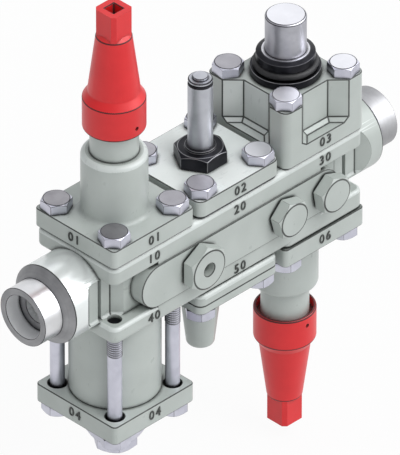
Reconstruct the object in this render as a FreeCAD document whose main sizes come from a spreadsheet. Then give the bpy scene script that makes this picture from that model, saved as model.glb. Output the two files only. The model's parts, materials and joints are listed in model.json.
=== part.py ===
"""Valve station: three valve modules in one cast housing between two weld ends.

The origin is the centre of the inlet's weld face. +X is the flow direction, +Z is up,
and the three module axes stand on the flow line, one pitch apart. The top of the
housing carries a stop valve, a solenoid valve and a motor valve, and its underside
carries a strainer, a manual opener and a second stop valve.
"""
import FreeCAD
import Part

import math
import os
import re

import Sketcher

# Driving dimensions in millimetres, each with what it measures
SIZES = {
    # Row of modules
    "face_to_axis": (85, "weld face to the nearest module axis"),
    "axis_pitch": (80, "distance between two module axes"),
    # Housing casting
    "block_half": (37, "housing, half width, and its overhang past an end axis"),
    "block_corner": (6, "housing, upright corner radius"),
    "deck_top": (32.5, "flow axis to the deck that carries stop and motor valves"),
    "deck_low": (30.5, "flow axis to the underside at the strainer and opener"),
    "deck_round": (4.5, "rounding of the deck edges"),
    "step_round": (3.2, "rounding of the underside's edge at the outlet"),
    "flange_gap": (17.2, "flow axis to the inner face of either flange"),
    "flange_round": (2.5, "rounding of the flanges' inner edges"),
    "web_inset": (4, "inset of the web inside the flanges' outline"),
    "web_half": (20.5, "end web, half width"),
    "web_knee": (25, "module axis to where the end web widens"),
    "web_face": (27, "flow plane to the recessed side wall"),
    "web_reach": (44.6, "module axis to where the web meets the end boss"),
    "pocket_round": (2, "rounding inside the corner pockets"),
    "boss_radius": (28.6, "end boss radius"),
    "rib_radius": (16.25, "side rib, half height and end radius"),
    "rib_proud": (1.2, "side rib, how far it stands proud of the flanges"),
    "rib_end": (4, "end module axis to the centre of the rib's round end"),
    "pad_drop": (9, "opener pad, depth below the housing"),
    "pad_corner": (5.8, "opener pad and covers, upright corner radius"),
    "pad_round": (4, "opener pad, rounding of its upper edge"),
    # Bores in the housing
    "line_radius": (10, "flow bore radius"),
    "chamber_radius": (21, "valve chamber radius"),
    "chamber_floor": (11, "flow axis to a stop valve chamber's floor"),
    "seat_port": (12, "bore radius through a stop valve's seat"),
    "port_length": (6, "length of the port behind a stop valve's seat"),
    "sump_radius": (27, "strainer chamber radius"),
    "sump_roof": (20.5, "flow axis to the strainer chamber's roof"),
    "passage_radius": (5, "passage between two modules, radius"),
    "passage_drop": (22, "flow axis to the passage under the first web"),
    "lift_chamber": (14, "height of the chamber round the piston seat"),
    "opener_radius": (12, "chamber under the piston, radius"),
    "feed_low": (7, "height where the motor valve's feed passage starts"),
    "feed_high": (24, "height where the feed passage ends"),
    # Weld ends
    "stub_radius": (21.2, "weld end, outside radius"),
    "stub_bore": (16, "weld end, inside radius"),
    "stub_depth": (12.6, "weld end, depth of the wide bore"),
    "stub_length": (15.9, "weld end, length of the straight part"),
    "stub_cone": (5.4, "weld end, length of its cone up to the boss"),
    # Fasteners
    "bolt_half": (27, "module axis to a bolt, along X and along Y"),
    "bolt_radius": (5, "bolt shank radius"),
    "tap_clear": (0.05, "radial clearance of a bolt in its tapped hole"),
    "hole_clear": (1.5, "radial clearance of a bolt in its cover"),
    "bolt_bite": (14, "length of bolt in the housing"),
    "strainer_bite": (11, "length of a long strainer bolt in the housing"),
    "head_across": (19, "bolt head, across flats"),
    "head_height": (7.5, "bolt head, height"),
    # Stop valve bonnets
    "plate_overhang": (0.5, "square flange of a valve, its overhang over the housing"),
    "plate_thick": (14, "stop valve flange and strainer cover, thickness"),
    "plate_corner": (3.5, "stop valve flange, corner radius"),
    "column_radius": (22.5, "bonnet column radius"),
    "column_height": (46.5, "bonnet column, height above its flange"),
    "column_round": (3.6, "rounding of the column's top edge"),
    "column_foot": (3.5, "fillet at the column's foot"),
    "neck_radius": (16.4, "bonnet neck radius"),
    "neck_length": (39, "bonnet neck, length above its column"),
    "ring_inner": (25.5, "deck gasket, inside radius"),
    "ring_outer": (29, "deck gasket, outside radius"),
    "ring_thick": (1.5, "deck gasket, thickness"),
    "seat_height": (4, "stop valve seat, height"),
    "seat_outer": (18, "stop valve seat, outside radius"),
    "seat_clear": (0.1, "clearance left when a cone or piston is shut"),
    "stop_stroke": (8, "stop valve, travel from open to shut"),
    "cone_radius": (16, "stop valve cone, radius"),
    "cone_thick": (6.9, "stop valve cone, thickness of the disc"),
    "hub_radius": (10, "stop valve cone, hub radius"),
    "hub_height": (16, "stop valve cone, hub height"),
    "stem_radius": (6, "stop valve spindle, stem radius"),
    "screw_radius": (8, "stop valve spindle, radius over its thread"),
    "run_clear": (0.05, "radial running clearance of a shaft"),
    "stem_proud": (28, "open spindle, length past the bonnet neck"),
    "stem_square": (8, "square on the spindle's end, across flats"),
    "square_length": (10, "length of the square on the spindle's end"),
    "box_radius": (11, "stuffing box radius"),
    "box_depth": (34, "stuffing box depth"),
    "packing_height": (12, "packing, height"),
    "gland_slot": (3, "wrench slot in a gland, width and depth"),
    # Stop valve caps
    "cap_overlap": (19.5, "cap, length of its skirt below the end of the neck"),
    "cap_radius": (21.3, "cap skirt radius"),
    "cap_rim": (2, "cap skirt, wall at the mouth"),
    "cap_relief": (7.5, "depth of the wide mouth before the cap's thread"),
    "cap_clear": (0.1, "radial clearance in a cap's thread"),
    "cap_shoulder_rise": (4, "end of the neck to the shoulder of the cap"),
    "cap_waist": (17.7, "cap, radius above its shoulder"),
    "cap_waist_rise": (5.5, "height of the cap's shoulder"),
    "cap_cone_length": (43.1, "cap, length of its cone"),
    "cap_cone_end": (12.2, "cap, radius at the top of its cone"),
    "cap_crown_rise": (3.4, "cap, height of the bevel above its cone"),
    "cap_head": (17.5, "cap, length of its square head"),
    "cap_square": (19, "cap's square head, across flats"),
    "cap_bevel": (2.5, "corner bevel of the square head"),
    "cap_hollow": (10.5, "radius of the hollow over the spindle"),
    "cap_room": (12, "room over the spindle in that hollow"),
    "socket_side": (9, "square socket in the cap's head, side"),
    "socket_depth": (10, "square socket in the cap's head, depth"),
    "wire_radius": (1.5, "seal wire hole, radius"),
    "wire_rise": (7.3, "mouth of the cap to the seal wire hole"),
    "washer_thick": (1.4, "cap sealing ring, thickness"),
    "washer_clear": (0.05, "clearance on each face of a cap's sealing ring"),
    # Strainer
    "barrel_radius": (31, "strainer barrel radius"),
    "barrel_bore": (26, "strainer barrel bore radius"),
    "barrel_length": (65.5, "strainer barrel length"),
    "screen_radius": (19, "strainer screen radius"),
    "screen_wall": (1, "strainer screen wall"),
    "screen_end": (4, "height of the screen's end rings"),
    "screen_slot": (3, "width of a slot in the screen"),
    "screen_slots": (12, "number of slots round the screen"),
    "adapter_across": (36, "drain adapter, across flats"),
    "adapter_height": (24, "drain adapter, height below the cover with its gasket"),
    "adapter_thread": (13, "drain adapter thread radius"),
    "drain_bore": (6, "drain bore radius"),
    "drain_across": (27, "drain plug, across flats"),
    "drain_height": (10.5, "drain plug, height below the adapter with its gasket"),
    "drain_thread": (8.5, "drain plug thread radius"),
    "drain_bite": (13, "drain plug thread length"),
    "gasket_thick": (1.5, "flat gasket under a hexagon, thickness"),
    "gasket_width": (3.5, "flat gasket under a hexagon, width"),
    # Solenoid valve
    "sheet_thick": (1, "gasket under the solenoid cover, thickness"),
    "solenoid_thick": (12.5, "solenoid cover, thickness"),
    "nut_across": (32, "armature tube nut, across flats"),
    "nut_height": (10.5, "armature tube nut, height"),
    "nut_collar": (10.5, "armature tube nut, collar radius"),
    "collar_height": (1.5, "armature tube nut, collar height"),
    "tube_radius": (8.5, "armature tube radius"),
    "tube_root": (9, "armature tube, radius inside its nut"),
    "tube_lip": (8.3, "armature tube, radius above the clip groove"),
    "tube_length": (65, "armature tube, length above the solenoid cover"),
    "tube_wall": (1.9, "armature tube wall"),
    "tube_flange": (11, "armature tube, flange radius"),
    "tube_seat": (3, "armature tube, flange thickness"),
    "tube_cap": (13, "armature tube, solid length at its top"),
    "groove_depth": (1, "clip groove, depth"),
    "groove_width": (2, "clip groove, width"),
    "groove_drop": (4, "tube top to the lower edge of the clip groove"),
    "button_radius": (5.2, "centre button on the tube, radius"),
    "button_height": (2, "centre button on the tube, height"),
    "armature_length": (35, "armature, length above the cover"),
    "needle_radius": (3, "armature needle radius"),
    "pilot_radius": (1, "pilot bore radius"),
    "pilot_length": (3, "pilot bore length"),
    "piston_radius": (19, "piston guide radius"),
    "piston_nose": (14, "piston nose radius"),
    "piston_room": (1.5, "room above the piston when it is lifted"),
    "piston_cup": (12, "radius of the cup in the piston"),
    "piston_cup_depth": (10, "depth of the cup in the piston"),
    "piston_lift": (6, "piston travel"),
    "nozzle_radius": (9, "piston seat bore radius"),
    "nozzle_outer": (16, "piston seat, outside radius"),
    "nozzle_sink": (4, "piston seat, depth below the flow axis"),
    "nozzle_rise": (2.5, "piston seat, height above the flow axis"),
    "spring_turns": (5, "turns of a spring"),
    "spring_wire": (0.6, "wire radius of a spring"),
    "spring_clear": (0.4, "clearance between a spring and what guides it"),
    # Manual opener
    "opener_thick": (6.5, "opener cover, thickness"),
    "opener_neck": (11, "opener cover, neck radius"),
    "opener_neck_length": (20, "opener cover, neck length"),
    "opener_stem": (4, "opener spindle radius"),
    "opener_bore": (6, "opener cover, bore radius"),
    "opener_gland": (8, "opener gland radius"),
    "gland_length": (12, "opener gland, length"),
    "opener_stroke": (4, "opener travel"),
    "opener_tail": (14, "opener spindle, length past its gland"),
    "tail_square": (5.5, "square on the opener spindle, across flats"),
    "opener_cap_foot": (15.7, "opener cap, radius at its mouth"),
    "opener_cap_end": (9.4, "opener cap, radius at its end"),
    "opener_cap_length": (56.7, "opener cap, length"),
    "opener_cap_round": (3, "opener cap, rounding of its end"),
    "opener_cap_wall": (7, "opener cap, thickness of its end"),
    # Motor valve
    "motor_height": (45, "motor valve body, height"),
    "motor_back": (27.5, "module axis to the back of a side pocket"),
    "motor_narrow": (11.75, "side pocket, half width at its back"),
    "motor_wide": (22, "side pocket, half width at its mouth"),
    "motor_floor": (12.5, "side pocket floor, height above the deck"),
    "motor_round": (3, "side pocket, slanted edge of its floor"),
    "guide_radius": (8, "motor valve cone, guide radius"),
    "actuator_bore": (20, "bore for the actuator's nut, radius"),
    "actuator_depth": (15.5, "bore for the actuator's nut, depth"),
    "clamp_radius": (24, "actuator nut, radius"),
    "clamp_height": (5.5, "actuator nut, height"),
    "throat_radius": (17.5, "actuator neck radius"),
    "throat_flange": (6, "actuator foot, thickness"),
    "throat_height": (10.5, "flange face to the actuator's collar"),
    "shoulder_radius": (20, "actuator collar radius"),
    "shoulder_height": (6, "actuator collar height"),
    "can_radius": (14, "actuator tube radius"),
    "can_height": (45.5, "flange face to the actuator's top"),
    "can_wall": (1.9, "actuator tube wall"),
    "can_edge": (1, "actuator tube, edge bevel"),
    "rotor_clear": (0.2, "radial clearance of the rotor"),
    "rotor_length": (24, "rotor magnet, length"),
    "screw_shaft": (3, "lead screw radius"),
    "screw_reach": (32.5, "flange face to the lead screw's lower end"),
    "motor_stroke": (8, "motor valve travel"),
    "motor_seat_bore": (6, "motor valve seat bore radius"),
    "motor_seat_outer": (16, "motor valve seat, outside radius"),
    "motor_seat_sink": (3, "motor valve seat, depth in the housing"),
    "motor_seat_rise": (4, "motor valve seat, height in its chamber"),
    "motor_needle": (6.5, "motor valve cone, length of its tip"),
    # Side ports
    "gauge_across": (30, "gauge port plug, across flats"),
    "gauge_thread": (10, "gauge port plug, thread radius"),
    "gauge_hole": (4.8, "gauge port plug, centre hole radius"),
    "gauge_depth": (7, "gauge port plug, centre hole depth"),
    "plug_across": (25, "port plug, across flats"),
    "plug_thread": (8, "port plug, thread radius"),
    "plug_height": (10.6, "rib face to the face of a port plug"),
    "plug_bite": (14, "port plug, thread length"),
    "drill_radius": (3, "drilled passage behind a port plug, radius"),
}

# Places of the module axes along the row
AXIS_ONE = "face_to_axis"
AXIS_TWO = "face_to_axis + axis_pitch"
AXIS_THREE = "face_to_axis + 2 * axis_pitch"
ROW_LENGTH = "2 * face_to_axis + 2 * axis_pitch"

# Heights from the flow axis, a reach along it and a flange's half width, which follow from the sizes
PLACES = {
    "boss_reach": "face_to_axis - stub_length - stub_cone",
    "plate_half": "block_half + plate_overhang",
    "column_top": "deck_top + plate_thick + column_height",
    "neck_top": "column_top + neck_length",
    "box_floor": "neck_top - box_depth",
    "stem_top": "neck_top + stem_proud",
    "cap_mouth": "neck_top - cap_overlap",
    "wire_height": "cap_mouth + wire_rise",
    "cap_shoulder": "neck_top + cap_shoulder_rise",
    "cap_cone_top": "cap_shoulder + cap_waist_rise + cap_cone_length",
    "cap_crown": "cap_cone_top + cap_crown_rise",
    "cap_tip": "cap_crown + cap_head",
    "cap_hollow_top": "stem_top + cap_room",
    "barrel_end": "deck_low + barrel_length",
    "tube_top": "deck_top + sheet_thick + solenoid_thick + tube_length",
}

# How far each bolt head is turned about its own axis, in degrees
HEAD_TURNS = (8, 25, 12, 40)

UP = FreeCAD.Rotation()
DOWN = FreeCAD.Rotation(FreeCAD.Vector(0, 1, 0), 180)
ALONG_FLOW = FreeCAD.Rotation(FreeCAD.Vector(0, 1, 0), 90)
AGAINST_FLOW = FreeCAD.Rotation(FreeCAD.Vector(0, 1, 0), -90)
INTO_SIDE = FreeCAD.Rotation(FreeCAD.Vector(1, 0, 0), -90)
OUT_OF_SIDE = FreeCAD.Rotation(FreeCAD.Vector(1, 0, 0), 90)

doc = FreeCAD.newDocument("ValveStation")
sheet = doc.addObject("Spreadsheet::Sheet", "Sizes")
for row, (alias, (number, note)) in enumerate(SIZES.items(), start=1):
    sheet.set(f"A{row}", note)
    sheet.set(f"B{row}", str(number))
    sheet.setAlias(f"B{row}", alias)
for row, (alias, formula) in enumerate(PLACES.items(), start=len(SIZES) + 1):
    sheet.setAlias(f"B{row}", alias)
    sheet.set(f"B{row}", "=" + formula)
doc.recompute()

NAMED = {*SIZES, *PLACES}
pieces = []


def tied(text):
    """A formula on the sheet's cells, from words such as 'deck_top + plate_thick'."""
    return re.sub(r"[a-z_]+", lambda word: "Sizes." + word[0] if word[0] in NAMED else word[0], text)


def value(text):
    """The number that such words stand for now."""
    def number(word):
        return repr(float(sheet.get(word[0]))) if word[0] in NAMED else word[0]

    return FreeCAD.Units.parseQuantity(re.sub(r"[a-z_]+", number, text)).Value


def keep(piece, label):
    """Name a finished sub-part and put it on the list of files to write."""
    piece.Label = label
    pieces.append(piece)
    return piece


def place(piece, along="0", across="0", up="0", turn=UP):
    """Put a piece at formulas of the sheet, turned about its own origin."""
    piece.Placement = FreeCAD.Placement(FreeCAD.Vector(), turn)
    piece.setExpression("Placement.Base.x", tied(along))
    piece.setExpression("Placement.Base.y", tied(across))
    piece.setExpression("Placement.Base.z", tied(up))
    return piece


# Sketches and features of a body

def new_body(name):
    return doc.addObject("PartDesign::Body", name)


def sketch_on(body, role, lift="0"):
    """An empty sketch on one of the body's own origin planes, moved along its normal."""
    sketch = body.newObject("Sketcher::SketchObject", body.Name + "Sketch")
    plane = [plane for plane in body.Origin.OriginFeatures if plane.Role == role]
    sketch.AttachmentSupport = [(plane[0], "")]
    sketch.MapMode = "FlatFace"
    sketch.setExpression("AttachmentOffset.Base.z", tied(lift))
    return sketch


def tie_point(sketch, line, end, across, up):
    """Hold a point of the sketch at two formulas, measured from the sketch's origin."""
    for kind, text in (("DistanceX", across), ("DistanceY", up)):
        number = sketch.addConstraint(Sketcher.Constraint(kind, -1, 1, line, end, value(text)))
        sketch.setExpression(f"Constraints[{number}]", tied(text))


def outline(body, role, corners, lift="0"):
    """A closed outline of straight lines through corners given as pairs of formulas."""
    sketch = sketch_on(body, role, lift)
    spots = [FreeCAD.Vector(value(across), value(up), 0) for across, up in corners]
    for first, second in zip(spots, spots[1:] + spots[:1]):
        sketch.addGeometry(Part.LineSegment(first, second), False)
    count = len(corners)
    for line in range(count):
        sketch.addConstraint(Sketcher.Constraint("Coincident", line, 2, (line + 1) % count, 1))
    for line, (across, up) in enumerate(corners):
        tie_point(sketch, line, 1, across, up)
    return sketch


def circles(body, role, centres, radius, lift="0"):
    """Equal circles at centres given as pairs of formulas."""
    sketch = sketch_on(body, role, lift)
    for across, up in centres:
        spot = FreeCAD.Vector(value(across), value(up), 0)
        ring = sketch.addGeometry(Part.Circle(spot, FreeCAD.Vector(0, 0, 1), value(radius)), False)
        tie_point(sketch, ring, 3, across, up)
        number = sketch.addConstraint(Sketcher.Constraint("Radius", ring, value(radius)))
        sketch.setExpression(f"Constraints[{number}]", tied(radius))
    return sketch


def pad(body, sketch, length, backwards=False):
    feature = body.newObject("PartDesign::Pad", body.Name + "Pad")
    feature.Profile = sketch
    feature.setExpression("Length", tied(length))
    feature.Reversed = backwards
    return feature


def pocket(body, sketch, length, backwards=False):
    feature = body.newObject("PartDesign::Pocket", body.Name + "Pocket")
    feature.Profile = sketch
    feature.setExpression("Length", tied(length))
    feature.Reversed = backwards
    return feature


def revolve(body, corners, cut=False):
    """Turn an outline of (radius, height) corners about the body's Z axis."""
    sketch = outline(body, "XZ_Plane", corners)
    kind = "Groove" if cut else "Revolution"
    feature = body.newObject("PartDesign::" + kind, body.Name + kind)
    feature.Profile = sketch
    feature.ReferenceAxis = (sketch, ["V_Axis"])
    feature.Angle = 360
    return feature


def ease(body, edges, amount, kind="Fillet"):
    """Round or bevel the edges of the body's last feature that the test picks."""
    doc.recompute()
    tip = body.Tip
    names = [f"Edge{number}" for number, edge in enumerate(tip.Shape.Edges, start=1) if edges(edge)]
    if not names:
        raise ValueError(f"{body.Name}: no edge to ease")
    feature = body.newObject("PartDesign::" + kind, body.Name + kind)
    feature.Base = (tip, names)
    feature.setExpression("Radius" if kind == "Fillet" else "Size", tied(amount))
    return feature


def near(first, second):
    return abs(first - second) < 0.001


def upright(edge):
    """A straight edge along the body's Z axis."""
    box = edge.BoundBox
    return edge.Curve.TypeId == "Part::GeomLine" and box.XLength < 0.001 and box.YLength < 0.001


def level(height):
    """A test for edges that lie wholly at a height."""
    def test(edge):
        return near(edge.BoundBox.ZMin, height) and near(edge.BoundBox.ZMax, height)
    return test


def ring(radius, height):
    """A test for a circle about the body's Z axis."""
    def test(edge):
        if edge.Curve.TypeId != "Part::GeomCircle" or not level(height)(edge):
            return False
        centre = edge.Curve.Center
        return near(edge.Curve.Radius, radius) and math.hypot(centre.x, centre.y) < 0.001
    return test


def square(half_x, half_y=None):
    """Corners of a rectangle about the origin."""
    half_y = half_y or half_x
    left = f"-({half_x})"
    front = f"-({half_y})"
    return [(left, front), (half_x, front), (half_x, half_y), (left, half_y)]


def hexagon(across, turn=0):
    """Corners of a hexagon across its flats."""
    corners = []
    for corner in range(6):
        angle = math.radians(turn + 60 * corner)
        share = 1 / math.sqrt(3)
        x = f"({across}) * {share * math.cos(angle):.9f}"
        y = f"({across}) * {share * math.sin(angle):.9f}"
        corners.append((x, y))
    return corners


def four(half="bolt_half"):
    """The four bolt places of a module."""
    return [(f"{a} * {half}", f"{b} * {half}") for a in (-1, 1) for b in (-1, 1)]


def turned(name, corners, **where):
    """A piece turned from bar or moulded round, standing at its place."""
    body = new_body(name)
    revolve(body, corners)
    return keep(place(body, **where), name)


def tube(inner, outer, bottom, top):
    """Outline of a plain ring."""
    return [(inner, bottom), (outer, bottom), (outer, top), (inner, top)]


def plate(body, half, bottom, thick, corner):
    """Square plate with round corners and four bolt holes."""
    pad(body, outline(body, "XY_Plane", square(half), lift=bottom), thick)
    ease(body, upright, corner)
    holes = circles(body, "XY_Plane", four(), "bolt_radius + hole_clear", lift=f"{bottom} + {thick}")
    pocket(body, holes, thick)


def flat_edge(across, top):
    """Cutter corners for the 30 degree bevel on a hexagon's end face."""
    flat = f"({across}) * 0.475"
    reach = f"({across})"
    return [(flat, top), (reach, top), (reach, f"{top} - ({reach} - {flat}) / 3^0.5")]


# Plain primitives for the bolts and the bores

def primitive(kind, name, **sizes):
    piece = doc.addObject("Part::" + kind, name)
    for size, text in sizes.items():
        piece.setExpression(size, tied(text))
    return piece


def cylinder(name, radius, height, turn=UP, **where):
    return place(primitive("Cylinder", name, Radius=radius, Height=height), turn=turn, **where)


def join(name, shapes):
    piece = doc.addObject("Part::MultiFuse", name)
    piece.Shapes = shapes
    return piece


def take(name, base, tool):
    piece = doc.addObject("Part::Cut", name)
    piece.Base = base
    piece.Tool = tool
    return piece


def bolt(name, along, across, seat, length, turn, flip):
    """Hexagon head bolt, its head's underside at seat, its shank pointing back."""
    head = primitive("Prism", name + "Head", Circumradius="head_across / 3^0.5", Height="head_height")
    head.Polygon = 6
    place(head, up=seat, turn=FreeCAD.Rotation(FreeCAD.Vector(0, 0, 1), turn))
    bevel = primitive(
        "Cone", name + "Bevel", Height="head_height",
        Radius1="head_across * 0.475 + head_height * 3^0.5", Radius2="head_across * 0.475",
    )
    place(bevel, up=seat)
    eased = doc.addObject("Part::Common", name + "Eased")
    eased.Base = head
    eased.Tool = bevel
    shank = cylinder(name + "Shank", "bolt_radius", f"{length} + 1", up=f"{seat} - ({length})")
    whole = join(name, [eased, shank])
    return place(whole, along=along, across=across, turn=flip)


def bolts(label, axis, seat, length, flip=UP, first_turn=0):
    """Four bolts of a module, in one group of separate solids."""
    group = doc.addObject("Part::Compound", label)
    members = []
    for number, (along, across) in enumerate(four()):
        turn = HEAD_TURNS[(number + first_turn) % 4] + 30 * first_turn
        where = f"{axis} + ({along})"
        members.append(bolt(f"{label}{number}", where, across, seat, length, turn, flip))
    group.Links = members
    return keep(group, label)


# Housing

def housing_block(name, left, right, bottom, top, corner, roundings):
    """Block between two places along the row, with round corners and eased edges."""
    body = new_body(name)
    corners = [(left, "-block_half"), (right, "-block_half"), (right, "block_half"), (left, "block_half")]
    pad(body, outline(body, "XY_Plane", corners, lift=bottom), f"{top} - ({bottom})")
    ease(body, upright, corner)
    for height, amount in roundings:
        ease(body, level(value(height)), amount)
    return body


def corner_pocket(name, end, side):
    """Pocket between the flanges at one corner, with a slanted wall at each end."""
    body = new_body(name)
    away = "(block_half + 8)"
    corners = [
        (f"-(web_reach + {away} - web_half)", f"-{away}"),
        ("-web_reach", "-web_half"),
        ("-web_knee", "-web_half"),
        ("-web_knee + web_face - web_half", "-web_face"),
        ("rib_end", "-web_face"),
        ("rib_end", f"-{away}"),
    ]
    if end > 0:
        corners = [(f"-({along})", across) for along, across in corners]
    if side > 0:
        corners = [(along, f"-({across})") for along, across in corners]
    pad(body, outline(body, "XY_Plane", corners, lift="-flange_gap"), "2 * flange_gap")

    def inside(edge):
        box = edge.BoundBox
        flat = near(box.ZMin, box.ZMax)
        return flat and min(abs(box.YMin), abs(box.YMax)) < value("web_face") - 0.01
    ease(body, inside, "pocket_round")
    return place(body, along=AXIS_ONE if end < 0 else AXIS_THREE)


def rib(name, turn):
    """Long rounded rib on one side of the housing, which carries the port plugs."""
    reach = "block_half + rib_proud"
    start = f"{AXIS_ONE} + rib_end"
    end = f"{AXIS_THREE} - rib_end"
    length = f"{end} - ({start})"
    middle = primitive("Box", name + "Middle", Length=length, Width="2 * rib_radius", Height=reach)
    across = "-rib_radius" if turn is OUT_OF_SIDE else "rib_radius"
    place(middle, along=start, up=across, turn=turn)
    first = cylinder(name + "Start", "rib_radius", reach, turn=turn, along=start)
    last = cylinder(name + "End", "rib_radius", reach, turn=turn, along=end)
    return join(name, [middle, first, last])


def bolt_holes(name, axis, bottom, depth):
    """Four tapped holes of a module, from the height bottom upwards."""
    holes = []
    for number, (along, across) in enumerate(four()):
        where = {"along": f"{axis} + ({along})", "across": across, "up": bottom}
        holes.append(cylinder(f"{name}{number}", "bolt_radius + tap_clear", depth, **where))
    return holes


def module_bore(name, radius, axis, bottom, top):
    """Upright bore on a module axis between two heights."""
    return cylinder(name, radius, f"{top} - ({bottom})", along=axis, up=bottom)


def side_port(name, radius, along, reach):
    """Port through the side rib: a threaded bore, then a drilling inwards."""
    where = {"turn": INTO_SIDE, "along": along, "across": "-block_half - rib_proud"}
    thread = cylinder(name + "Thread", f"{radius} + tap_clear", "plug_bite + 1", **where)
    return [thread, cylinder(name + "Drill", "drill_radius", reach, **where)]


def housing():
    """The casting: block, end bosses, corner pockets, side ribs, opener pad and bores."""
    left = f"{AXIS_ONE} - block_half"
    right = f"{AXIS_THREE} + block_half"
    corner = "block_corner"
    edges = (("deck_top", "deck_round"), ("flange_gap", "flange_round"))
    top_flange = housing_block("TopFlange", left, right, "flange_gap", "deck_top", corner, edges)
    edges = (("-deck_low", "deck_round"), ("-flange_gap", "flange_round"))
    low_flange = housing_block("LowFlange", left, right, "-deck_low", "-flange_gap", corner, edges)
    step_left = f"{AXIS_THREE} - block_half"
    step_top = "-(deck_low + flange_gap) / 2"
    edges = [("-deck_top", "step_round")]
    step = housing_block("Step", step_left, right, "-deck_top", step_top, corner, edges)
    web = primitive(
        "Box", "Web", Length=f"{right} - ({left}) - 2 * web_inset", Width="2 * block_half - 2 * web_inset",
        Height="2 * flange_gap + 2",
    )
    place(web, along=f"{left} + web_inset", across="web_inset - block_half", up="-flange_gap - 1")
    wall_height = "flange_gap + flange_round + 0.5"
    wall = primitive(
        "Box", "Wall", Length=f"{AXIS_THREE} - ({AXIS_ONE}) - 2 * rib_end", Width="2 * block_half",
        Height=f"2 * ({wall_height})",
    )
    place(wall, along=f"{AXIS_ONE} + rib_end", across="-block_half", up=f"-({wall_height})")
    boss_length = "boss_reach - block_half + 1"
    inlet_boss = cylinder(
        "InletBoss", "boss_radius", boss_length, turn=ALONG_FLOW, along=f"{AXIS_ONE} - boss_reach",
    )
    outlet_boss = cylinder(
        "OutletBoss", "boss_radius", boss_length, turn=AGAINST_FLOW, along=f"{AXIS_THREE} + boss_reach",
    )
    rough = join("Rough", [web, inlet_boss, outlet_boss])
    pockets = [
        corner_pocket(f"Pocket{number}", end, side)
        for number, (end, side) in enumerate(((-1, -1), (-1, 1), (1, -1), (1, 1)))
    ]
    waisted = take("Waisted", rough, join("Pockets", pockets))
    pad_left = f"{AXIS_TWO} - block_half"
    pad_right = f"{AXIS_TWO} + block_half"
    pad_foot = "-deck_low - pad_drop"
    pad_edges = [("-deck_low", "pad_round")]
    opener_pad = housing_block("Pad", pad_left, pad_right, pad_foot, "-deck_low", "pad_corner", pad_edges)
    ribs = [rib("FrontRib", OUT_OF_SIDE), rib("BackRib", INTO_SIDE)]
    cast = join("Cast", [waisted, top_flange, low_flange, wall, step, opener_pad] + ribs)

    port_back = "chamber_floor + port_length"
    seat_back = f"{port_back} - motor_seat_sink"
    above = "deck_top + 1"
    start = f"{AXIS_ONE} - boss_reach - 1"
    bores = [
        cylinder("InletLine", "line_radius", "boss_reach + 1", turn=ALONG_FLOW, along=start),
        cylinder("OutletLine", "line_radius", "boss_reach + 1", turn=ALONG_FLOW, along=AXIS_THREE),
        module_bore("InletChamber", "chamber_radius", AXIS_ONE, "-chamber_floor", above),
        module_bore("InletPort", "seat_port", AXIS_ONE, "-sump_roof - 1", "-chamber_floor + 1"),
        module_bore("Sump", "sump_radius", AXIS_ONE, "-deck_low - 1", "-sump_roof"),
        module_bore("LiftChamber", "chamber_radius", AXIS_TWO, "0", "lift_chamber"),
        module_bore("PistonGuide", "piston_radius + run_clear", AXIS_TWO, "lift_chamber - 1", above),
        module_bore("NozzleSeat", "nozzle_outer", AXIS_TWO, "-nozzle_sink", "1"),
        module_bore("OpenerChamber", "opener_radius", AXIS_TWO, f"{pad_foot} - 1", "-nozzle_sink + 1"),
        module_bore("MotorChamber", "chamber_radius", AXIS_THREE, port_back, above),
        module_bore("MotorSeat", "motor_seat_outer", AXIS_THREE, seat_back, f"{port_back} + 1"),
        module_bore("OutletPort", "seat_port", AXIS_THREE, "chamber_floor - 1", f"{seat_back} + 1"),
        module_bore("OutletChamber", "chamber_radius", AXIS_THREE, "-deck_top - 1", "chamber_floor"),
    ]
    where = {"turn": ALONG_FLOW, "along": AXIS_ONE, "up": "-passage_drop"}
    bores.append(cylinder("Passage", "passage_radius", "axis_pitch", **where))
    rise = value("feed_high - feed_low")
    lean = math.degrees(math.atan2(value("axis_pitch"), rise))
    slant = FreeCAD.Rotation(FreeCAD.Vector(0, 1, 0), lean)
    feed_length = "(axis_pitch^2 + (feed_high - feed_low)^2)^0.5"
    bores.append(cylinder("Feed", "passage_radius", feed_length, turn=slant, along=AXIS_TWO, up="feed_low"))
    through = "deck_top - flange_gap + 2"
    bores += bolt_holes("HoleA", AXIS_ONE, "flange_gap - 1", through)
    bores += bolt_holes("HoleB", AXIS_TWO, "flange_gap - 1", through)
    bores += bolt_holes("HoleC", AXIS_THREE, "flange_gap - 1", through)
    bores += bolt_holes("HoleD", AXIS_ONE, "-deck_low - 1", "deck_low - flange_gap + 2")
    bores += bolt_holes("HoleE", AXIS_TWO, f"{pad_foot} - 1", "bolt_bite + 2")
    bores += bolt_holes("HoleF", AXIS_THREE, "-deck_top - 1", through)
    to_middle = "block_half + rib_proud"
    first_gap = f"{AXIS_ONE} + axis_pitch / 2"
    second_gap = f"{AXIS_TWO} + axis_pitch / 2"
    bores += side_port("GaugePort", "gauge_thread", first_gap, to_middle)
    bores += side_port("SecondPort", "plug_thread", second_gap, to_middle)
    bores += side_port("ThirdPort", "plug_thread", AXIS_THREE, to_middle)
    bores.append(cylinder("GaugeLink", "drill_radius", "passage_drop", along=first_gap, up="-passage_drop"))
    bores.append(cylinder("FeedLink", "drill_radius", "(feed_low + feed_high) / 2", along=second_gap))
    keep(take("Housing", cast, join("Bores", bores)), "housing")


# Weld ends

def weld_end(label, along, turn):
    """Pipe stub with a cone up to the boss, welded to the housing."""
    cone_end = "face_to_axis - boss_reach"
    corners = [
        ("stub_bore", "0"), ("stub_radius", "0"), ("stub_radius", "stub_length"),
        ("boss_radius", cone_end), ("line_radius", cone_end), ("line_radius", "stub_depth"),
        ("stub_bore", "stub_depth"),
    ]
    return turned(label, corners, along=along, turn=turn)


# Side port plugs

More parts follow.
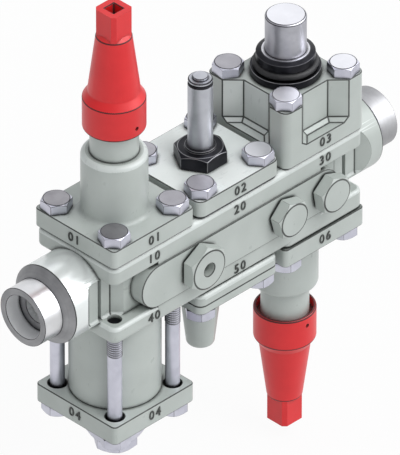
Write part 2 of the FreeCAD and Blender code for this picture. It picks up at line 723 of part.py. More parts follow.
def port_plug(label, across, thread, along, turn, hole=None):
    """Hexagon plug: bevelled head outwards, threaded shank into the rib."""
    body = new_body(label)
    head = "plug_height - gasket_thick"
    pad(body, outline(body, "XY_Plane", hexagon(across, turn), lift="gasket_thick"), head)
    revolve(body, flat_edge(across, "plug_height"), cut=True)
    shank = circles(body, "XY_Plane", [("0", "0")], thread, lift="-plug_bite")
    pad(body, shank, "plug_bite + gasket_thick")
    if hole:
        pocket(body, circles(body, "XY_Plane", [("0", "0")], hole, lift="plug_height"), "gauge_depth")
    return keep(place(body, along=along, across="-block_half - rib_proud", turn=OUT_OF_SIDE), label)


def flat_gasket(name, thread, **where):
    """Flat ring under a hexagon."""
    body = new_body(name)
    revolve(body, tube(thread, f"{thread} + gasket_width", "0", "gasket_thick"))
    return place(body, **where)


def group(label, members):
    """Several separate solids in one node."""
    whole = doc.addObject("Part::Compound", label)
    whole.Links = members
    return keep(whole, label)


def side_ports():
    first_gap = f"{AXIS_ONE} + axis_pitch / 2"
    second_gap = f"{AXIS_TWO} + axis_pitch / 2"
    port_plug("port_plug_1", "gauge_across", "gauge_thread", first_gap, 30, hole="gauge_hole")
    port_plug("port_plug_2", "plug_across", "plug_thread", second_gap, 45)
    port_plug("port_plug_3", "plug_across", "plug_thread", AXIS_THREE, 40)
    face = "-block_half - rib_proud"
    gaskets = [
        flat_gasket("GaugeGasket", "gauge_thread", along=first_gap, across=face, turn=OUT_OF_SIDE),
        flat_gasket("SecondGasket", "plug_thread", along=second_gap, across=face, turn=OUT_OF_SIDE),
        flat_gasket("ThirdGasket", "plug_thread", along=AXIS_THREE, across=face, turn=OUT_OF_SIDE),
    ]
    group("port_gaskets", gaskets)


# Stop valves

def bonnet(label, axis, flip):
    """Square flange, column and threaded neck, bored for the spindle and its packing."""
    body = new_body(label)
    top = "deck_top + plate_thick"
    pad(body, outline(body, "XY_Plane", square("plate_half"), lift="deck_top"), "plate_thick")
    ease(body, upright, "plate_corner")
    column = [
        ("0", "deck_top + 1"), ("column_radius", "deck_top + 1"), ("column_radius", "column_top"),
        ("neck_radius", "column_top"), ("neck_radius", "neck_top"), ("0", "neck_top"),
    ]
    revolve(body, column)
    ease(body, ring(value("column_radius"), value(top)), "column_foot")
    ease(body, ring(value("column_radius"), value("column_top")), "column_round")
    bore = [
        ("0", "deck_top - 1"), ("screw_radius + run_clear", "deck_top - 1"),
        ("screw_radius + run_clear", "box_floor"), ("box_radius", "box_floor"),
        ("box_radius", "neck_top + 1"), ("0", "neck_top + 1"),
    ]
    revolve(body, bore, cut=True)
    revolve(body, tube("ring_inner", "ring_outer", "deck_top - 1", "deck_top + ring_thick"), cut=True)
    holes = circles(body, "XY_Plane", four(), "bolt_radius + hole_clear", lift=top)
    pocket(body, holes, "plate_thick + 1")
    return keep(place(body, along=axis, turn=flip), label)


def stop_seat(label, axis, flip):
    top = "-chamber_floor + seat_height"
    return turned(label, tube("seat_port", "seat_outer", "-chamber_floor", top), along=axis, turn=flip)


def stop_cone(label, axis, flip):
    """Valve cone, whose hub holds the spindle's end button."""
    foot = "-chamber_floor + seat_height + stop_stroke + seat_clear"
    shoulder = f"{foot} + cone_thick"
    hub = f"{shoulder} + hub_height"
    socket = "stem_radius + 2 * run_clear"
    floor = f"{foot} + cone_thick * 1.5"
    corners = [
        ("0", foot), ("cone_radius - cone_thick / 2", foot), ("cone_radius", f"{foot} + cone_thick / 2"),
        ("cone_radius", shoulder), ("hub_radius", shoulder), ("hub_radius", hub),
        (socket, hub), (socket, floor), ("0", floor),
    ]
    return turned(label, corners, along=axis, turn=flip)


def stop_spindle(label, axis, flip):
    """Spindle: button in the cone, thread in the bonnet, stem through the packing, square end."""
    body = new_body(label)
    foot = "-chamber_floor + seat_height + stop_stroke + seat_clear + cone_thick * 1.5 + 2 * run_clear"
    collar = "-chamber_floor + seat_height + stop_stroke + seat_clear + cone_thick + hub_height + 2"
    shoulder = "stem_top - square_length"
    corners = [
        ("0", foot), ("stem_radius", foot), ("stem_radius", collar), ("screw_radius", collar),
        ("screw_radius", "box_floor - 2"), ("stem_radius", "box_floor - 2"),
        ("stem_radius", shoulder), ("0", shoulder),
    ]
    revolve(body, corners)
    drive = outline(body, "XY_Plane", square("stem_square / 2"), lift=f"{shoulder} - 1")
    pad(body, drive, "square_length + 1")
    return keep(place(body, along=axis, turn=flip), label)


def stop_gland(label, axis, flip):
    """Gland screw over the packing, with a wrench slot across its top."""
    body = new_body(label)
    bottom = "box_floor + packing_height"
    revolve(body, tube("stem_radius + run_clear", "box_radius", bottom, "neck_top - 1"))
    slot = outline(body, "XY_Plane", square("box_radius + 1", "gland_slot / 2"), lift="neck_top - 1")
    pocket(body, slot, "gland_slot")
    return keep(place(body, along=axis, turn=flip), label)


def stop_cap(label, axis, flip):
    """Seal cap: skirt over the neck, long cone and a bevelled square head with a socket."""
    body = new_body(label)
    relief_top = "cap_mouth + cap_relief"
    thread = "neck_radius + cap_clear"
    seat = "neck_top + washer_thick + 2 * washer_clear"
    waist = "cap_shoulder + cap_waist_rise"
    corners = [
        ("0", "cap_hollow_top"), ("cap_hollow", "cap_hollow_top"), ("cap_hollow", seat),
        (thread, seat), (thread, relief_top), ("cap_radius - cap_rim", relief_top),
        ("cap_radius - cap_rim", "cap_mouth"), ("cap_radius", "cap_mouth"),
        ("cap_radius", "cap_shoulder"), ("cap_waist", waist), ("cap_cone_end", "cap_cone_top"),
        ("cap_cone_end - (cap_crown - cap_cone_top)", "cap_crown"), ("0", "cap_crown"),
    ]
    revolve(body, corners)
    ease(body, ring(value("cap_radius"), value("cap_mouth")), "cap_rim / 2", kind="Chamfer")
    ease(body, ring(value("cap_radius"), value("cap_shoulder")), "cap_rim")
    ease(body, ring(value("cap_waist"), value(waist)), "cap_rim")
    half = "cap_square / 2"
    inner = "(cap_square / 2 - cap_bevel)"
    head = [
        (f"-{inner}", f"-{half}"), (inner, f"-{half}"), (half, f"-{inner}"), (half, inner),
        (inner, half), (f"-{inner}", half), (f"-{half}", inner), (f"-{half}", f"-{inner}"),
    ]
    pad(body, outline(body, "XY_Plane", head, lift="cap_cone_top"), "cap_tip - cap_cone_top")
    pocket(body, outline(body, "XY_Plane", square("socket_side / 2"), lift="cap_tip"), "socket_depth")
    wire = circles(body, "XZ_Plane", [("0", "wire_height")], "wire_radius")
    pocket(body, wire, "cap_radius + 1", backwards=True)
    return keep(place(body, along=axis, turn=flip), label)


def stop_valve(name, axis, flip, first_turn):
    bonnet(f"{name}_bonnet", axis, flip)
    seat = "deck_top + plate_thick"
    bolts(f"{name}_bonnet_bolts", axis, seat, "plate_thick + bolt_bite", flip, first_turn)
    stop_seat(f"{name}_seat", axis, flip)
    stop_cone(f"{name}_cone", axis, flip)
    stop_spindle(f"{name}_spindle", axis, flip)
    packing = tube("stem_radius + run_clear", "box_radius", "box_floor", "box_floor + packing_height")
    turned(f"{name}_packing", packing, along=axis, turn=flip)
    stop_gland(f"{name}_gland", axis, flip)
    stop_cap(f"{name}_cap", axis, flip)
    washer_foot = "neck_top + washer_clear"
    washer = tube("box_radius", "neck_radius", washer_foot, f"{washer_foot} + washer_thick")
    turned(f"{name}_cap_seal", washer, along=axis, turn=flip)


# Strainer, standing on the underside

def strainer():
    """Barrel, cover, long bolts, slotted screen, gaskets and the drain."""
    where = {"along": AXIS_ONE, "turn": DOWN}
    body = new_body("strainer_barrel")
    revolve(body, tube("barrel_bore", "barrel_radius", "deck_low", "barrel_end"))
    middle = "(barrel_bore + barrel_radius) / 2"
    inner = f"{middle} - ring_thick / 2"
    outer = f"{middle} + ring_thick / 2"
    revolve(body, tube(inner, outer, "deck_low - 1", "deck_low + ring_thick"), cut=True)
    revolve(body, tube(inner, outer, "barrel_end - ring_thick", "barrel_end + 1"), cut=True)
    keep(place(body, **where), "strainer_barrel")

    rings = []
    for name, foot in (("BarrelTop", "deck_low"), ("BarrelEnd", "barrel_end - ring_thick")):
        washer = new_body(name)
        revolve(washer, tube(inner, outer, foot, f"{foot} + ring_thick"))
        rings.append(place(washer, **where))
    group("strainer_gaskets", rings)

    cover = new_body("strainer_cover")
    plate(cover, "plate_half", "barrel_end", "plate_thick", "plate_corner")
    top = "barrel_end + plate_thick"
    pocket(cover, circles(cover, "XY_Plane", [("0", "0")], "adapter_thread", lift=top), "plate_thick")
    keep(place(cover, **where), "strainer_cover")
    reach = f"{top} - deck_low + strainer_bite"
    bolts("strainer_bolts", AXIS_ONE, top, reach, DOWN, first_turn=1)

    screen_top = "sump_roof"
    sleeve = new_body("strainer_screen")
    revolve(sleeve, [
        ("seat_port", screen_top), ("screen_radius + screen_wall", screen_top),
        ("screen_radius + screen_wall", f"{screen_top} + screen_end"),
        ("screen_radius", f"{screen_top} + screen_end"), ("screen_radius", "barrel_end - screen_end"),
        ("screen_radius + screen_wall", "barrel_end - screen_end"),
        ("screen_radius + screen_wall", "barrel_end"), ("0", "barrel_end"),
        ("0", "barrel_end - screen_end"), ("screen_radius - screen_wall", "barrel_end - screen_end"),
        ("screen_radius - screen_wall", f"{screen_top} + screen_end"),
        ("seat_port", f"{screen_top} + screen_end"),
    ])
    low = f"{screen_top} + 2 * screen_end"
    high = "barrel_end - 2 * screen_end"
    half = "screen_slot / 2"
    slot_corners = [(f"-{half}", low), (half, low), (half, high), (f"-{half}", high)]
    slot = pocket(sleeve, outline(sleeve, "XZ_Plane", slot_corners), "screen_radius + 1", backwards=True)
    doc.recompute()
    slots = sleeve.newObject("PartDesign::PolarPattern", "ScreenSlots")
    slots.Originals = [slot]
    slots.Axis = (slot.Profile[0], ["V_Axis"])
    slots.Angle = 360
    slots.setExpression("Occurrences", tied("screen_slots"))
    sleeve.Tip = slots
    keep(place(sleeve, **where), "strainer_screen")

    adapter = new_body("drain_adapter")
    end = f"{top} + adapter_height"
    head = outline(adapter, "XY_Plane", hexagon("adapter_across", 45), lift=f"{top} + gasket_thick")
    pad(adapter, head, "adapter_height - gasket_thick")
    revolve(adapter, flat_edge("adapter_across", end), cut=True)
    shank = circles(adapter, "XY_Plane", [("0", "0")], "adapter_thread", lift="barrel_end")
    pad(adapter, shank, "plate_thick + gasket_thick")
    floor = f"{end} - drain_bite - 1"
    bore = [
        ("0", "barrel_end - 1"), ("drain_bore", "barrel_end - 1"), ("drain_bore", floor),
        ("drain_thread", floor), ("drain_thread", f"{end} + 1"), ("0", f"{end} + 1"),
    ]
    revolve(adapter, bore, cut=True)
    keep(place(adapter, **where), "drain_adapter")

    plug = new_body("drain_plug")
    tip = f"{end} + drain_height"
    head = outline(plug, "XY_Plane", hexagon("drain_across", 5), lift=f"{end} + gasket_thick")
    pad(plug, head, "drain_height - gasket_thick")
    revolve(plug, flat_edge("drain_across", tip), cut=True)
    shank = circles(plug, "XY_Plane", [("0", "0")], "drain_thread", lift=f"{end} - drain_bite")
    pad(plug, shank, "drain_bite + gasket_thick")
    keep(place(plug, **where), "drain_plug")
    group("drain_gaskets", [
        flat_gasket("AdapterGasket", "adapter_thread", along=AXIS_ONE, up=f"-({top})", turn=DOWN),
        flat_gasket("DrainGasket", "drain_thread", along=AXIS_ONE, up=f"-({end})", turn=DOWN),
    ])


# Solenoid valve

def spring(label, radius, bottom, top, axis):
    """Coil spring between two heights."""
    coil = primitive("Helix", label + "Line", Radius=radius)
    length = f"({top}) - ({bottom}) - 2 * spring_wire"
    coil.setExpression("Height", tied(length))
    coil.setExpression("Pitch", tied(f"({length}) / spring_turns"))
    coil.SegmentLength = 1
    section = primitive("Circle", label + "Wire", Radius="spring_wire")
    place(section, along=radius, turn=OUT_OF_SIDE)
    wire = doc.addObject("Part::Sweep", label)
    wire.Sections = [section]
    wire.Spine = (coil, [])
    wire.Solid = True
    wire.Frenet = True
    return keep(place(wire, along=axis, up=f"{bottom} + spring_wire"), label)


def solenoid_valve():
    where = {"along": AXIS_TWO}
    foot = "deck_top + sheet_thick"
    top = f"{foot} + solenoid_thick"
    cover = new_body("solenoid_cover")
    plate(cover, "plate_half", foot, "solenoid_thick", "pad_corner")
    bore = [
        ("0", f"{foot} - 1"), ("pilot_radius", f"{foot} - 1"), ("pilot_radius", f"{foot} + pilot_length"),
        ("needle_radius + 1", f"{foot} + pilot_length"), ("needle_radius + 1", f"{top} - tube_seat"),
        ("tube_flange", f"{top} - tube_seat"), ("tube_flange", f"{top} + 1"), ("0", f"{top} + 1"),
    ]
    revolve(cover, bore, cut=True)
    keep(place(cover, **where), "solenoid_cover")
    bolts("solenoid_bolts", AXIS_TWO, top, "solenoid_thick + sheet_thick + bolt_bite", first_turn=2)

    nut_top = f"{top} + nut_height"
    nut = new_body("tube_nut")
    pad(nut, outline(nut, "XY_Plane", hexagon("nut_across", 0), lift=top), "nut_height")
    revolve(nut, flat_edge("nut_across", nut_top), cut=True)
    pad(nut, circles(nut, "XY_Plane", [("0", "0")], "nut_collar", lift=nut_top), "collar_height")
    end = f"{nut_top} + collar_height"
    through = circles(nut, "XY_Plane", [("0", "0")], "tube_root + tap_clear", lift=end)
    pocket(nut, through, "nut_height + collar_height + 1")
    keep(place(nut, **where), "tube_nut")

    seat = f"{top} - tube_seat"
    inside = "tube_radius - tube_wall"
    roof = "tube_top - tube_cap"
    clip = "tube_top - groove_drop"
    turned("armature_tube", [
        (inside, seat), ("tube_flange", seat), ("tube_flange", top), ("tube_root", top),
        ("tube_root", end), ("tube_radius", end), ("tube_radius", clip), ("tube_radius - groove_depth", clip),
        ("tube_radius - groove_depth", f"{clip} + groove_width"), ("tube_lip", f"{clip} + groove_width"),
        ("tube_lip", "tube_top - groove_depth / 2"), ("tube_lip - groove_depth / 2", "tube_top"),
        ("button_radius", "tube_top"), ("button_radius", "tube_top + button_height"),
        ("0", "tube_top + button_height"), ("0", roof), (inside, roof),
    ], **where)

    needle = f"{foot} + pilot_length + seat_clear"
    armature_top = f"{top} + armature_length"
    slide = "tube_radius - tube_wall - 2 * run_clear"
    turned("armature", [
        ("0", needle), ("needle_radius", needle), ("needle_radius", f"{top} + 1"), (slide, f"{top} + 1"),
        (slide, armature_top), ("0", armature_top),
    ], **where)
    coil = f"{inside} - spring_clear - spring_wire"
    spring("armature_spring", coil, armature_top, roof, AXIS_TWO)

    rest = "nozzle_rise + seat_clear"
    piston_top = f"{foot} - piston_room - piston_lift"
    piston_floor = f"{piston_top} - piston_cup_depth"
    guide = "lift_chamber + seat_clear"
    turned("pilot_piston", [
        ("0", rest), ("piston_nose", rest), ("piston_nose", guide), ("piston_radius", guide),
        ("piston_radius", piston_top), ("piston_cup", piston_top), ("piston_cup", piston_floor),
        ("0", piston_floor),
    ], **where)
    spring("piston_spring", "piston_cup - spring_clear - spring_wire", piston_floor, foot, AXIS_TWO)
    turned("piston_seat", tube("nozzle_radius", "nozzle_outer", "-nozzle_sink", "nozzle_rise"), **where)


# Manual opener, standing on the underside

def manual_opener():
    where = {"along": AXIS_TWO, "turn": DOWN}
    foot = "deck_low + pad_drop"
    top = f"{foot} + opener_thick"
    neck_end = f"{top} + opener_neck_length"
    cover = new_body("opener_cover")
    plate(cover, "block_half", foot, "opener_thick", "pad_corner")
    pad(cover, circles(cover, "XY_Plane", [("0", "0")], "opener_neck", lift=top), "opener_neck_length")
    gland_foot = f"{neck_end} - gland_length"
    bore = [
        ("0", f"{foot} - 1"), ("opener_bore + run_clear", f"{foot} - 1"),
        ("opener_bore + run_clear", gland_foot), ("opener_gland", gland_foot),
        ("opener_gland", f"{neck_end} + 1"), ("0", f"{neck_end} + 1"),
    ]
    revolve(cover, bore, cut=True)
    keep(place(cover, **where), "opener_cover")
    bolts("opener_bolts", AXIS_TWO, top, "opener_thick + bolt_bite", DOWN, first_turn=3)
    turned("opener_gland", tube("opener_stem + run_clear", "opener_gland", gland_foot, neck_end), **where)

    push = "-nozzle_rise + opener_stroke + 2 * seat_clear"
    tail = f"{neck_end} + opener_tail"
    spindle = new_body("opener_spindle")
    revolve(spindle, [("0", push), ("opener_stem", push), ("opener_stem", tail), ("0", tail)])
    drive = outline(spindle, "XY_Plane", square("tail_square / 2"), lift=f"{tail} - 1")
    pad(spindle, drive, "tail_square + 1")
    keep(place(spindle, **where), "opener_spindle")
    ring_foot = f"{gland_foot} - 2 * seat_clear - (opener_bore - opener_stem)"
    ring_end = f"{gland_foot} - 2 * seat_clear"
    turned("opener_ring", tube("opener_stem + run_clear", "opener_bore", ring_foot, ring_end), **where)

    mouth = f"{top} + washer_clear * 6"
    end = f"{mouth} + opener_cap_length"
    seat = f"{neck_end} + washer_thick + 2 * washer_clear"
    thread = "opener_neck + cap_clear"
    cap = new_body("opener_cap")
    revolve(cap, [
        (thread, mouth), ("opener_cap_foot", mouth), ("opener_cap_end", end), ("0", end),
        ("0", f"{end} - opener_cap_wall"), ("opener_bore", f"{end} - opener_cap_wall"),
        ("opener_bore", seat), (thread, seat),
    ])
    ease(cap, ring(value("opener_cap_end"), value(end)), "opener_cap_round")
    keep(place(cap, **where), "opener_cap")
    washer_foot = f"{neck_end} + washer_clear"
    washer_end = f"{washer_foot} + washer_thick"
    turned("opener_cap_seal", tube("opener_gland", "opener_neck", washer_foot, washer_end), **where)


# Motor valve

def motor_valve():
    where = {"along": AXIS_THREE}
    top = "deck_top + motor_height"
    body = new_body("motor_body")
    pad(body, outline(body, "XY_Plane", square("plate_half"), lift="deck_top"), "motor_height")
    ease(body, upright, "pad_corner")
    out = "plate_half + 1"
    slope = "(motor_wide - motor_narrow) / (plate_half - motor_back)"
    mouth = f"(motor_wide + {slope})"
    hollow = [
        (f"-{mouth}", f"-({out})"), ("-motor_narrow", "-motor_back"), ("motor_narrow", "-motor_back"),
        (mouth, f"-({out})"),
    ]
    mould = outline(body, "XY_Plane", hollow, lift=f"{top} + 1")
    side = pocket(body, mould, "motor_height - motor_floor + 1")
    doc.recompute()
    sides = body.newObject("PartDesign::PolarPattern", "SidePockets")
    sides.Originals = [side]
    sides.Axis = (side.Profile[0], ["N_Axis"])
    sides.Angle = 360
    sides.Occurrences = 4
    body.Tip = sides
    floor = value("deck_top + motor_floor")
    side = value("plate_half")

    def floor_edge(edge):
        box = edge.BoundBox
        outer_x = near(box.XMin, box.XMax) and near(abs(box.XMin), side)
        outer_y = near(box.YMin, box.YMax) and near(abs(box.YMin), side)
        return level(floor)(edge) and not outer_x and not outer_y
    ease(body, floor_edge, "motor_round", kind="Chamfer")
    bore = [
        ("0", "deck_top - 1"), ("guide_radius + 2 * run_clear", "deck_top - 1"),
        ("guide_radius + 2 * run_clear", f"{top} - actuator_depth"),
        ("actuator_bore", f"{top} - actuator_depth"), ("actuator_bore", f"{top} + 1"), ("0", f"{top} + 1"),
    ]
    revolve(body, bore, cut=True)
    revolve(body, tube("ring_inner", "ring_outer", "deck_top - 1", "deck_top + ring_thick"), cut=True)
    holes = circles(body, "XY_Plane", four(), "bolt_radius + hole_clear", lift=top)
    pocket(body, holes, "motor_height + 1")
    keep(place(body, **where), "motor_body")
    bolts("motor_bolts", AXIS_THREE, top, "motor_height + bolt_bite", first_turn=4)

    foot = f"{top} - actuator_depth"
    neck = f"{foot} + throat_flange"
    collar = f"{top} + throat_height"
    shoulder = f"{collar} + shoulder_height"
    can_top = f"{top} + can_height"
    inside = "can_radius - can_wall"
    turned("motor_tube", [
        (inside, foot), ("actuator_bore - run_clear", foot), ("actuator_bore - run_clear", neck),
        ("throat_radius", neck), ("throat_radius", collar), ("shoulder_radius", collar),
        ("shoulder_radius", shoulder), ("throat_radius - can_edge", f"{shoulder} + 1.5 * can_edge"),
        ("can_radius", f"{shoulder} + 1.5 * can_edge"), ("can_radius", f"{can_top} - can_edge"),
        ("can_radius - can_edge", can_top), ("0", can_top), ("0", f"{can_top} - 2 * can_wall"),
        (inside, f"{can_top} - 2 * can_wall"),
    ], **where)
    turned("motor_nut", [
        ("throat_radius + run_clear", neck), ("actuator_bore - run_clear", neck),
        ("actuator_bore - run_clear", top), ("clamp_radius", top),
        ("clamp_radius", f"{top} + clamp_height"), ("throat_radius + run_clear", f"{top} + clamp_height"),
    ], **where)
    seal_radius = "(throat_height - clamp_height) / 2 - 2 * run_clear"
    seal = primitive("Torus", "motor_seal", Radius2=seal_radius)
    seal.setExpression("Radius1", tied(f"throat_radius + {seal_radius}"))
    place(seal, along=AXIS_THREE, up=f"{top} + (throat_height + clamp_height) / 2")
    keep(seal, "motor_seal")

    roof = f"{can_top} - 2 * can_wall - seat_clear"
    magnet_top = f"{can_top} - 2 * can_wall - screw_shaft"
    magnet_foot = f"{magnet_top} - rotor_length"
    tip = f"{top} - screw_reach"
    turned("motor_rotor", [
        ("0", tip), ("screw_shaft", tip), ("screw_shaft", magnet_foot),
        (f"{inside} - rotor_clear", magnet_foot), (f"{inside} - rotor_clear", magnet_top),
        ("screw_shaft", magnet_top), ("screw_shaft", roof), ("0", roof),
    ], **where)
    seat_top = "chamber_floor + port_length + motor_seat_rise"
    lip = f"{seat_top} + seat_clear"
    needle = "motor_seat_bore - 4 * run_clear"
    cone_top = f"{top} - actuator_depth - motor_seat_sink * 2"
    well = f"{tip} - motor_stroke - 1"
    turned("motor_cone", [
        ("0", f"{lip} - motor_needle"), ("motor_seat_bore / 2", f"{lip} - motor_needle"),
        (needle, f"{lip} - 1"), (needle, lip), ("guide_radius", lip), ("guide_radius", cone_top),
        ("screw_shaft + 2 * run_clear", cone_top), ("screw_shaft + 2 * run_clear", well), ("0", well),
    ], **where)
    seat_foot = "chamber_floor + port_length - motor_seat_sink"
    turned("motor_seat", tube("motor_seat_bore", "motor_seat_outer", seat_foot, seat_top), **where)


def deck_gaskets():
    """Gaskets between the housing and the flanges that stand on it."""
    members = []
    rings = (("Inlet", AXIS_ONE, UP), ("Outlet", AXIS_THREE, DOWN), ("Motor", AXIS_THREE, UP))
    for name, axis, flip in rings:
        washer = new_body(name + "Gasket")
        revolve(washer, tube("ring_inner", "ring_outer", "deck_top", "deck_top + ring_thick"))
        members.append(place(washer, along=axis, turn=flip))
    flat = new_body("SolenoidGasket")
    plate(flat, "block_half", "deck_top", "sheet_thick", "pad_corner")
    bore = circles(flat, "XY_Plane", [("0", "0")], "chamber_radius", lift="deck_top + sheet_thick")
    pocket(flat, bore, "sheet_thick")
    members.append(place(flat, along=AXIS_TWO))
    group("deck_gaskets", members)


housing()
weld_end("inlet_stub", "0", ALONG_FLOW)
weld_end("outlet_stub", ROW_LENGTH, AGAINST_FLOW)
side_ports()
deck_gaskets()
stop_valve("inlet", AXIS_ONE, UP, 0)
stop_valve("outlet", AXIS_THREE, DOWN, 1)
strainer()
solenoid_valve()
manual_opener()
motor_valve()
doc.recompute()

# Every object and every sub-part must be sound before anything is written
failed = [piece.Name for piece in doc.Objects if {"Invalid", "Error"} & set(piece.State)]
failed += [piece.Label for piece in pieces if piece.Shape.isNull() or not piece.Shape.isValid()]
if failed:
    raise RuntimeError("not sound: " + ", ".join(failed))

os.makedirs("parts", exist_ok=True)
for piece in pieces:
    piece.Shape.exportStep(f"parts/{piece.Label}.step")
    print(f"{piece.Label}: {len(piece.Shape.Solids)} solids, {piece.Shape.Volume / 1000:.2f} cm3")
print(len(pieces), "sub-parts")
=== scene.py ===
# %% [markdown]
# # A valve station, dressed for its picture
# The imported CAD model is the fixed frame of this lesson. It already has every piece at its real
# size, so the work here is finish: a camera and light, good materials, rounded edges, and the fine
# pieces that a CAD solid leaves out, such as real threads. Everything could be modelled again in
# Blender, but then the sizes would drift away from the part's own.

# %% Load the frame
import json
import math

import bmesh
import bpy
from mathutils import Matrix, Vector

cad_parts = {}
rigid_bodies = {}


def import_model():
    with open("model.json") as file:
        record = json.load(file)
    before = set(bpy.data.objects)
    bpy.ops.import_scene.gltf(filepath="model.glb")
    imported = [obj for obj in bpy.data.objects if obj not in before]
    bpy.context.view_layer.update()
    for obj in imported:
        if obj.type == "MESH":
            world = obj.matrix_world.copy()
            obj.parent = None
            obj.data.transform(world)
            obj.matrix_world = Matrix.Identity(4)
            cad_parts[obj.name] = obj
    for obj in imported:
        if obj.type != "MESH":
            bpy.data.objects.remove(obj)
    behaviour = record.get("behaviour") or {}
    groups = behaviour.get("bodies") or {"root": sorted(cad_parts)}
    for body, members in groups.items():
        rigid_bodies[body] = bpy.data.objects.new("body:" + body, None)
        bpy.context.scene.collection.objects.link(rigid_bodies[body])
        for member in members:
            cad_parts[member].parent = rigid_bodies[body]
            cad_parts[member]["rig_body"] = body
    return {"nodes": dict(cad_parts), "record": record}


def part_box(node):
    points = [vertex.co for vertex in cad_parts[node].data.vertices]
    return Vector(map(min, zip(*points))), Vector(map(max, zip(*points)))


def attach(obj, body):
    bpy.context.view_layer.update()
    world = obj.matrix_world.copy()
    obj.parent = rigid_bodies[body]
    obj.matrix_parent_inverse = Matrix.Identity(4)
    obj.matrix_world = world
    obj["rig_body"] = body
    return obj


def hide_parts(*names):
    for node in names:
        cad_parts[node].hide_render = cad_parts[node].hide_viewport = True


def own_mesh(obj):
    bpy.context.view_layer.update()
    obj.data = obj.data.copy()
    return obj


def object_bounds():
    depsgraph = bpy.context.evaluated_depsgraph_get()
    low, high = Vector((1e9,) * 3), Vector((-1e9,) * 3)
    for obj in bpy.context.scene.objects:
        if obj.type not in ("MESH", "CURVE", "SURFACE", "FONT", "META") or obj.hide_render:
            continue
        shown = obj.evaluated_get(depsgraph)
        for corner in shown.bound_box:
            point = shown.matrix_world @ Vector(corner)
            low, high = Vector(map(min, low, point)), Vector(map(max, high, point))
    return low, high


MM = 0.001
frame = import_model()
nodes = frame["nodes"]
cad_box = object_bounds()
print("CAD box in mm:", [[round(v / MM, 1) for v in corner] for corner in cad_box])

# %% [markdown]
# ## Where things are
# Every place comes from the frame. The three module axes stand upright on the flow axis, and the
# decks are found from the boxes of the nodes that lie on them.

# %% Places read from the frame
def middle(node):
    """Centre of a node's box."""
    low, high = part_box(node)
    return (low + high) / 2


AXIS_ONE = middle("inlet_bonnet").x
AXIS_TWO = middle("solenoid_cover").x
AXIS_THREE = middle("outlet_bonnet").x
DECK_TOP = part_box("inlet_bonnet")[0].z
DECK_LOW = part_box("strainer_barrel")[1].z
print("module axes in mm:", [round(x / MM, 1) for x in (AXIS_ONE, AXIS_TWO, AXIS_THREE)])

# %% [markdown]
# ## The camera
# The photograph is an isometric view: the camera looks down by 35.26 degrees, turned 45 degrees
# from the front towards the inlet. An isometric drawing has no perspective, so the camera stands
# far away with a very long lens. An orthographic camera would give the same picture. The long lens
# keeps parallel edges parallel too, and still lets the camera be moved round the part.

# %% Camera
LENS = 1.4
SENSOR = 0.036
VIEW_HEIGHT = 301.8 * MM
LOOK_AT = Vector((164.7 * MM, 0, -9.95 * MM))
TILT = math.asin(1 / math.sqrt(3))
back = Vector((-math.cos(TILT) / math.sqrt(2), -math.cos(TILT) / math.sqrt(2), math.sin(TILT)))
distance = VIEW_HEIGHT * LENS / SENSOR

camera_data = bpy.data.cameras.new("camera")
camera_data.lens = LENS / MM
camera_data.sensor_width = SENSOR / MM
camera_data.clip_end = 100
camera = bpy.data.objects.new("camera", camera_data)
camera.location = LOOK_AT + back * distance
camera.rotation_mode = "QUATERNION"
camera.rotation_quaternion = (-back).to_track_quat("-Z", "Y")
bpy.context.scene.collection.objects.link(camera)
bpy.context.scene.camera = camera
bpy.context.scene.view_settings.view_transform = "Standard"
print("camera distance:", round(distance, 2), "m")

# %% [markdown]
# ## Light and background
# The upward faces are lit most, the front faces less and the left faces least. So the world is
# brighter above and in front than behind on the left, and one wide sun adds to it. Several area
# lamps could do this, but they show as hard shapes in polished metal. Bare metal shows what it
# mirrors. For glossy rays the world therefore runs from dark on the left to bright on the right,
# with a soft lamp in one direction, which gives a round bar its light and its dark side. Camera
# rays see plain white paper, and so do rays that pass through something clear.

# %% Nodes made short
def node(tree, kind, **settings):
    """A shader node with its properties set."""
    made = tree.nodes.new(kind)
    for name, setting in settings.items():
        setattr(made, name, setting)
    return made


def either(tree, first, second):
    """The larger of two values, such as two kinds of ray."""
    made = node(tree, "ShaderNodeMath", operation="MAXIMUM")
    tree.links.new(first, made.inputs[0])
    tree.links.new(second, made.inputs[1])
    return made.outputs[0]


def mixed(tree, share, first, second):
    """Two shaders mixed by a share of the second."""
    made = node(tree, "ShaderNodeMixShader")
    tree.links.new(share, made.inputs[0])
    tree.links.new(first, made.inputs[1])
    tree.links.new(second, made.inputs[2])
    return made.outputs[0]


def ramp_along(tree, direction, low, high, first=-1.0, last=1.0):
    """A value that runs from low, against a direction, to high along it.

    first and last are the cosines between which it changes."""
    where = node(tree, "ShaderNodeTexCoord")
    along = node(tree, "ShaderNodeVectorMath", operation="DOT_PRODUCT")
    along.inputs[1].default_value = Vector(direction).normalized()
    tree.links.new(where.outputs["Generated"], along.inputs[0])
    made = node(tree, "ShaderNodeMapRange")
    made.inputs["From Min"].default_value = first
    made.inputs["From Max"].default_value = last
    made.inputs["To Min"].default_value = low
    made.inputs["To Max"].default_value = high
    tree.links.new(along.outputs["Value"], made.inputs["Value"])
    return made.outputs["Result"]


# %% World
# Each ramp is a direction with the strengths against it and along it.
DAYLIGHT = ((0.5, -0.3, 0.8), 0.06, 0.95)
ROOM = ((0.8, -0.2, 0.6), 0.15, 1.25)
SOFT_BOX = ((0.6, -0.6, 0.55), 0, 4.5, 0.86, 0.96)
SKY_TINT = (0.96, 0.985, 1, 1)
ROOM_TINT = (0.97, 0.98, 1, 1)

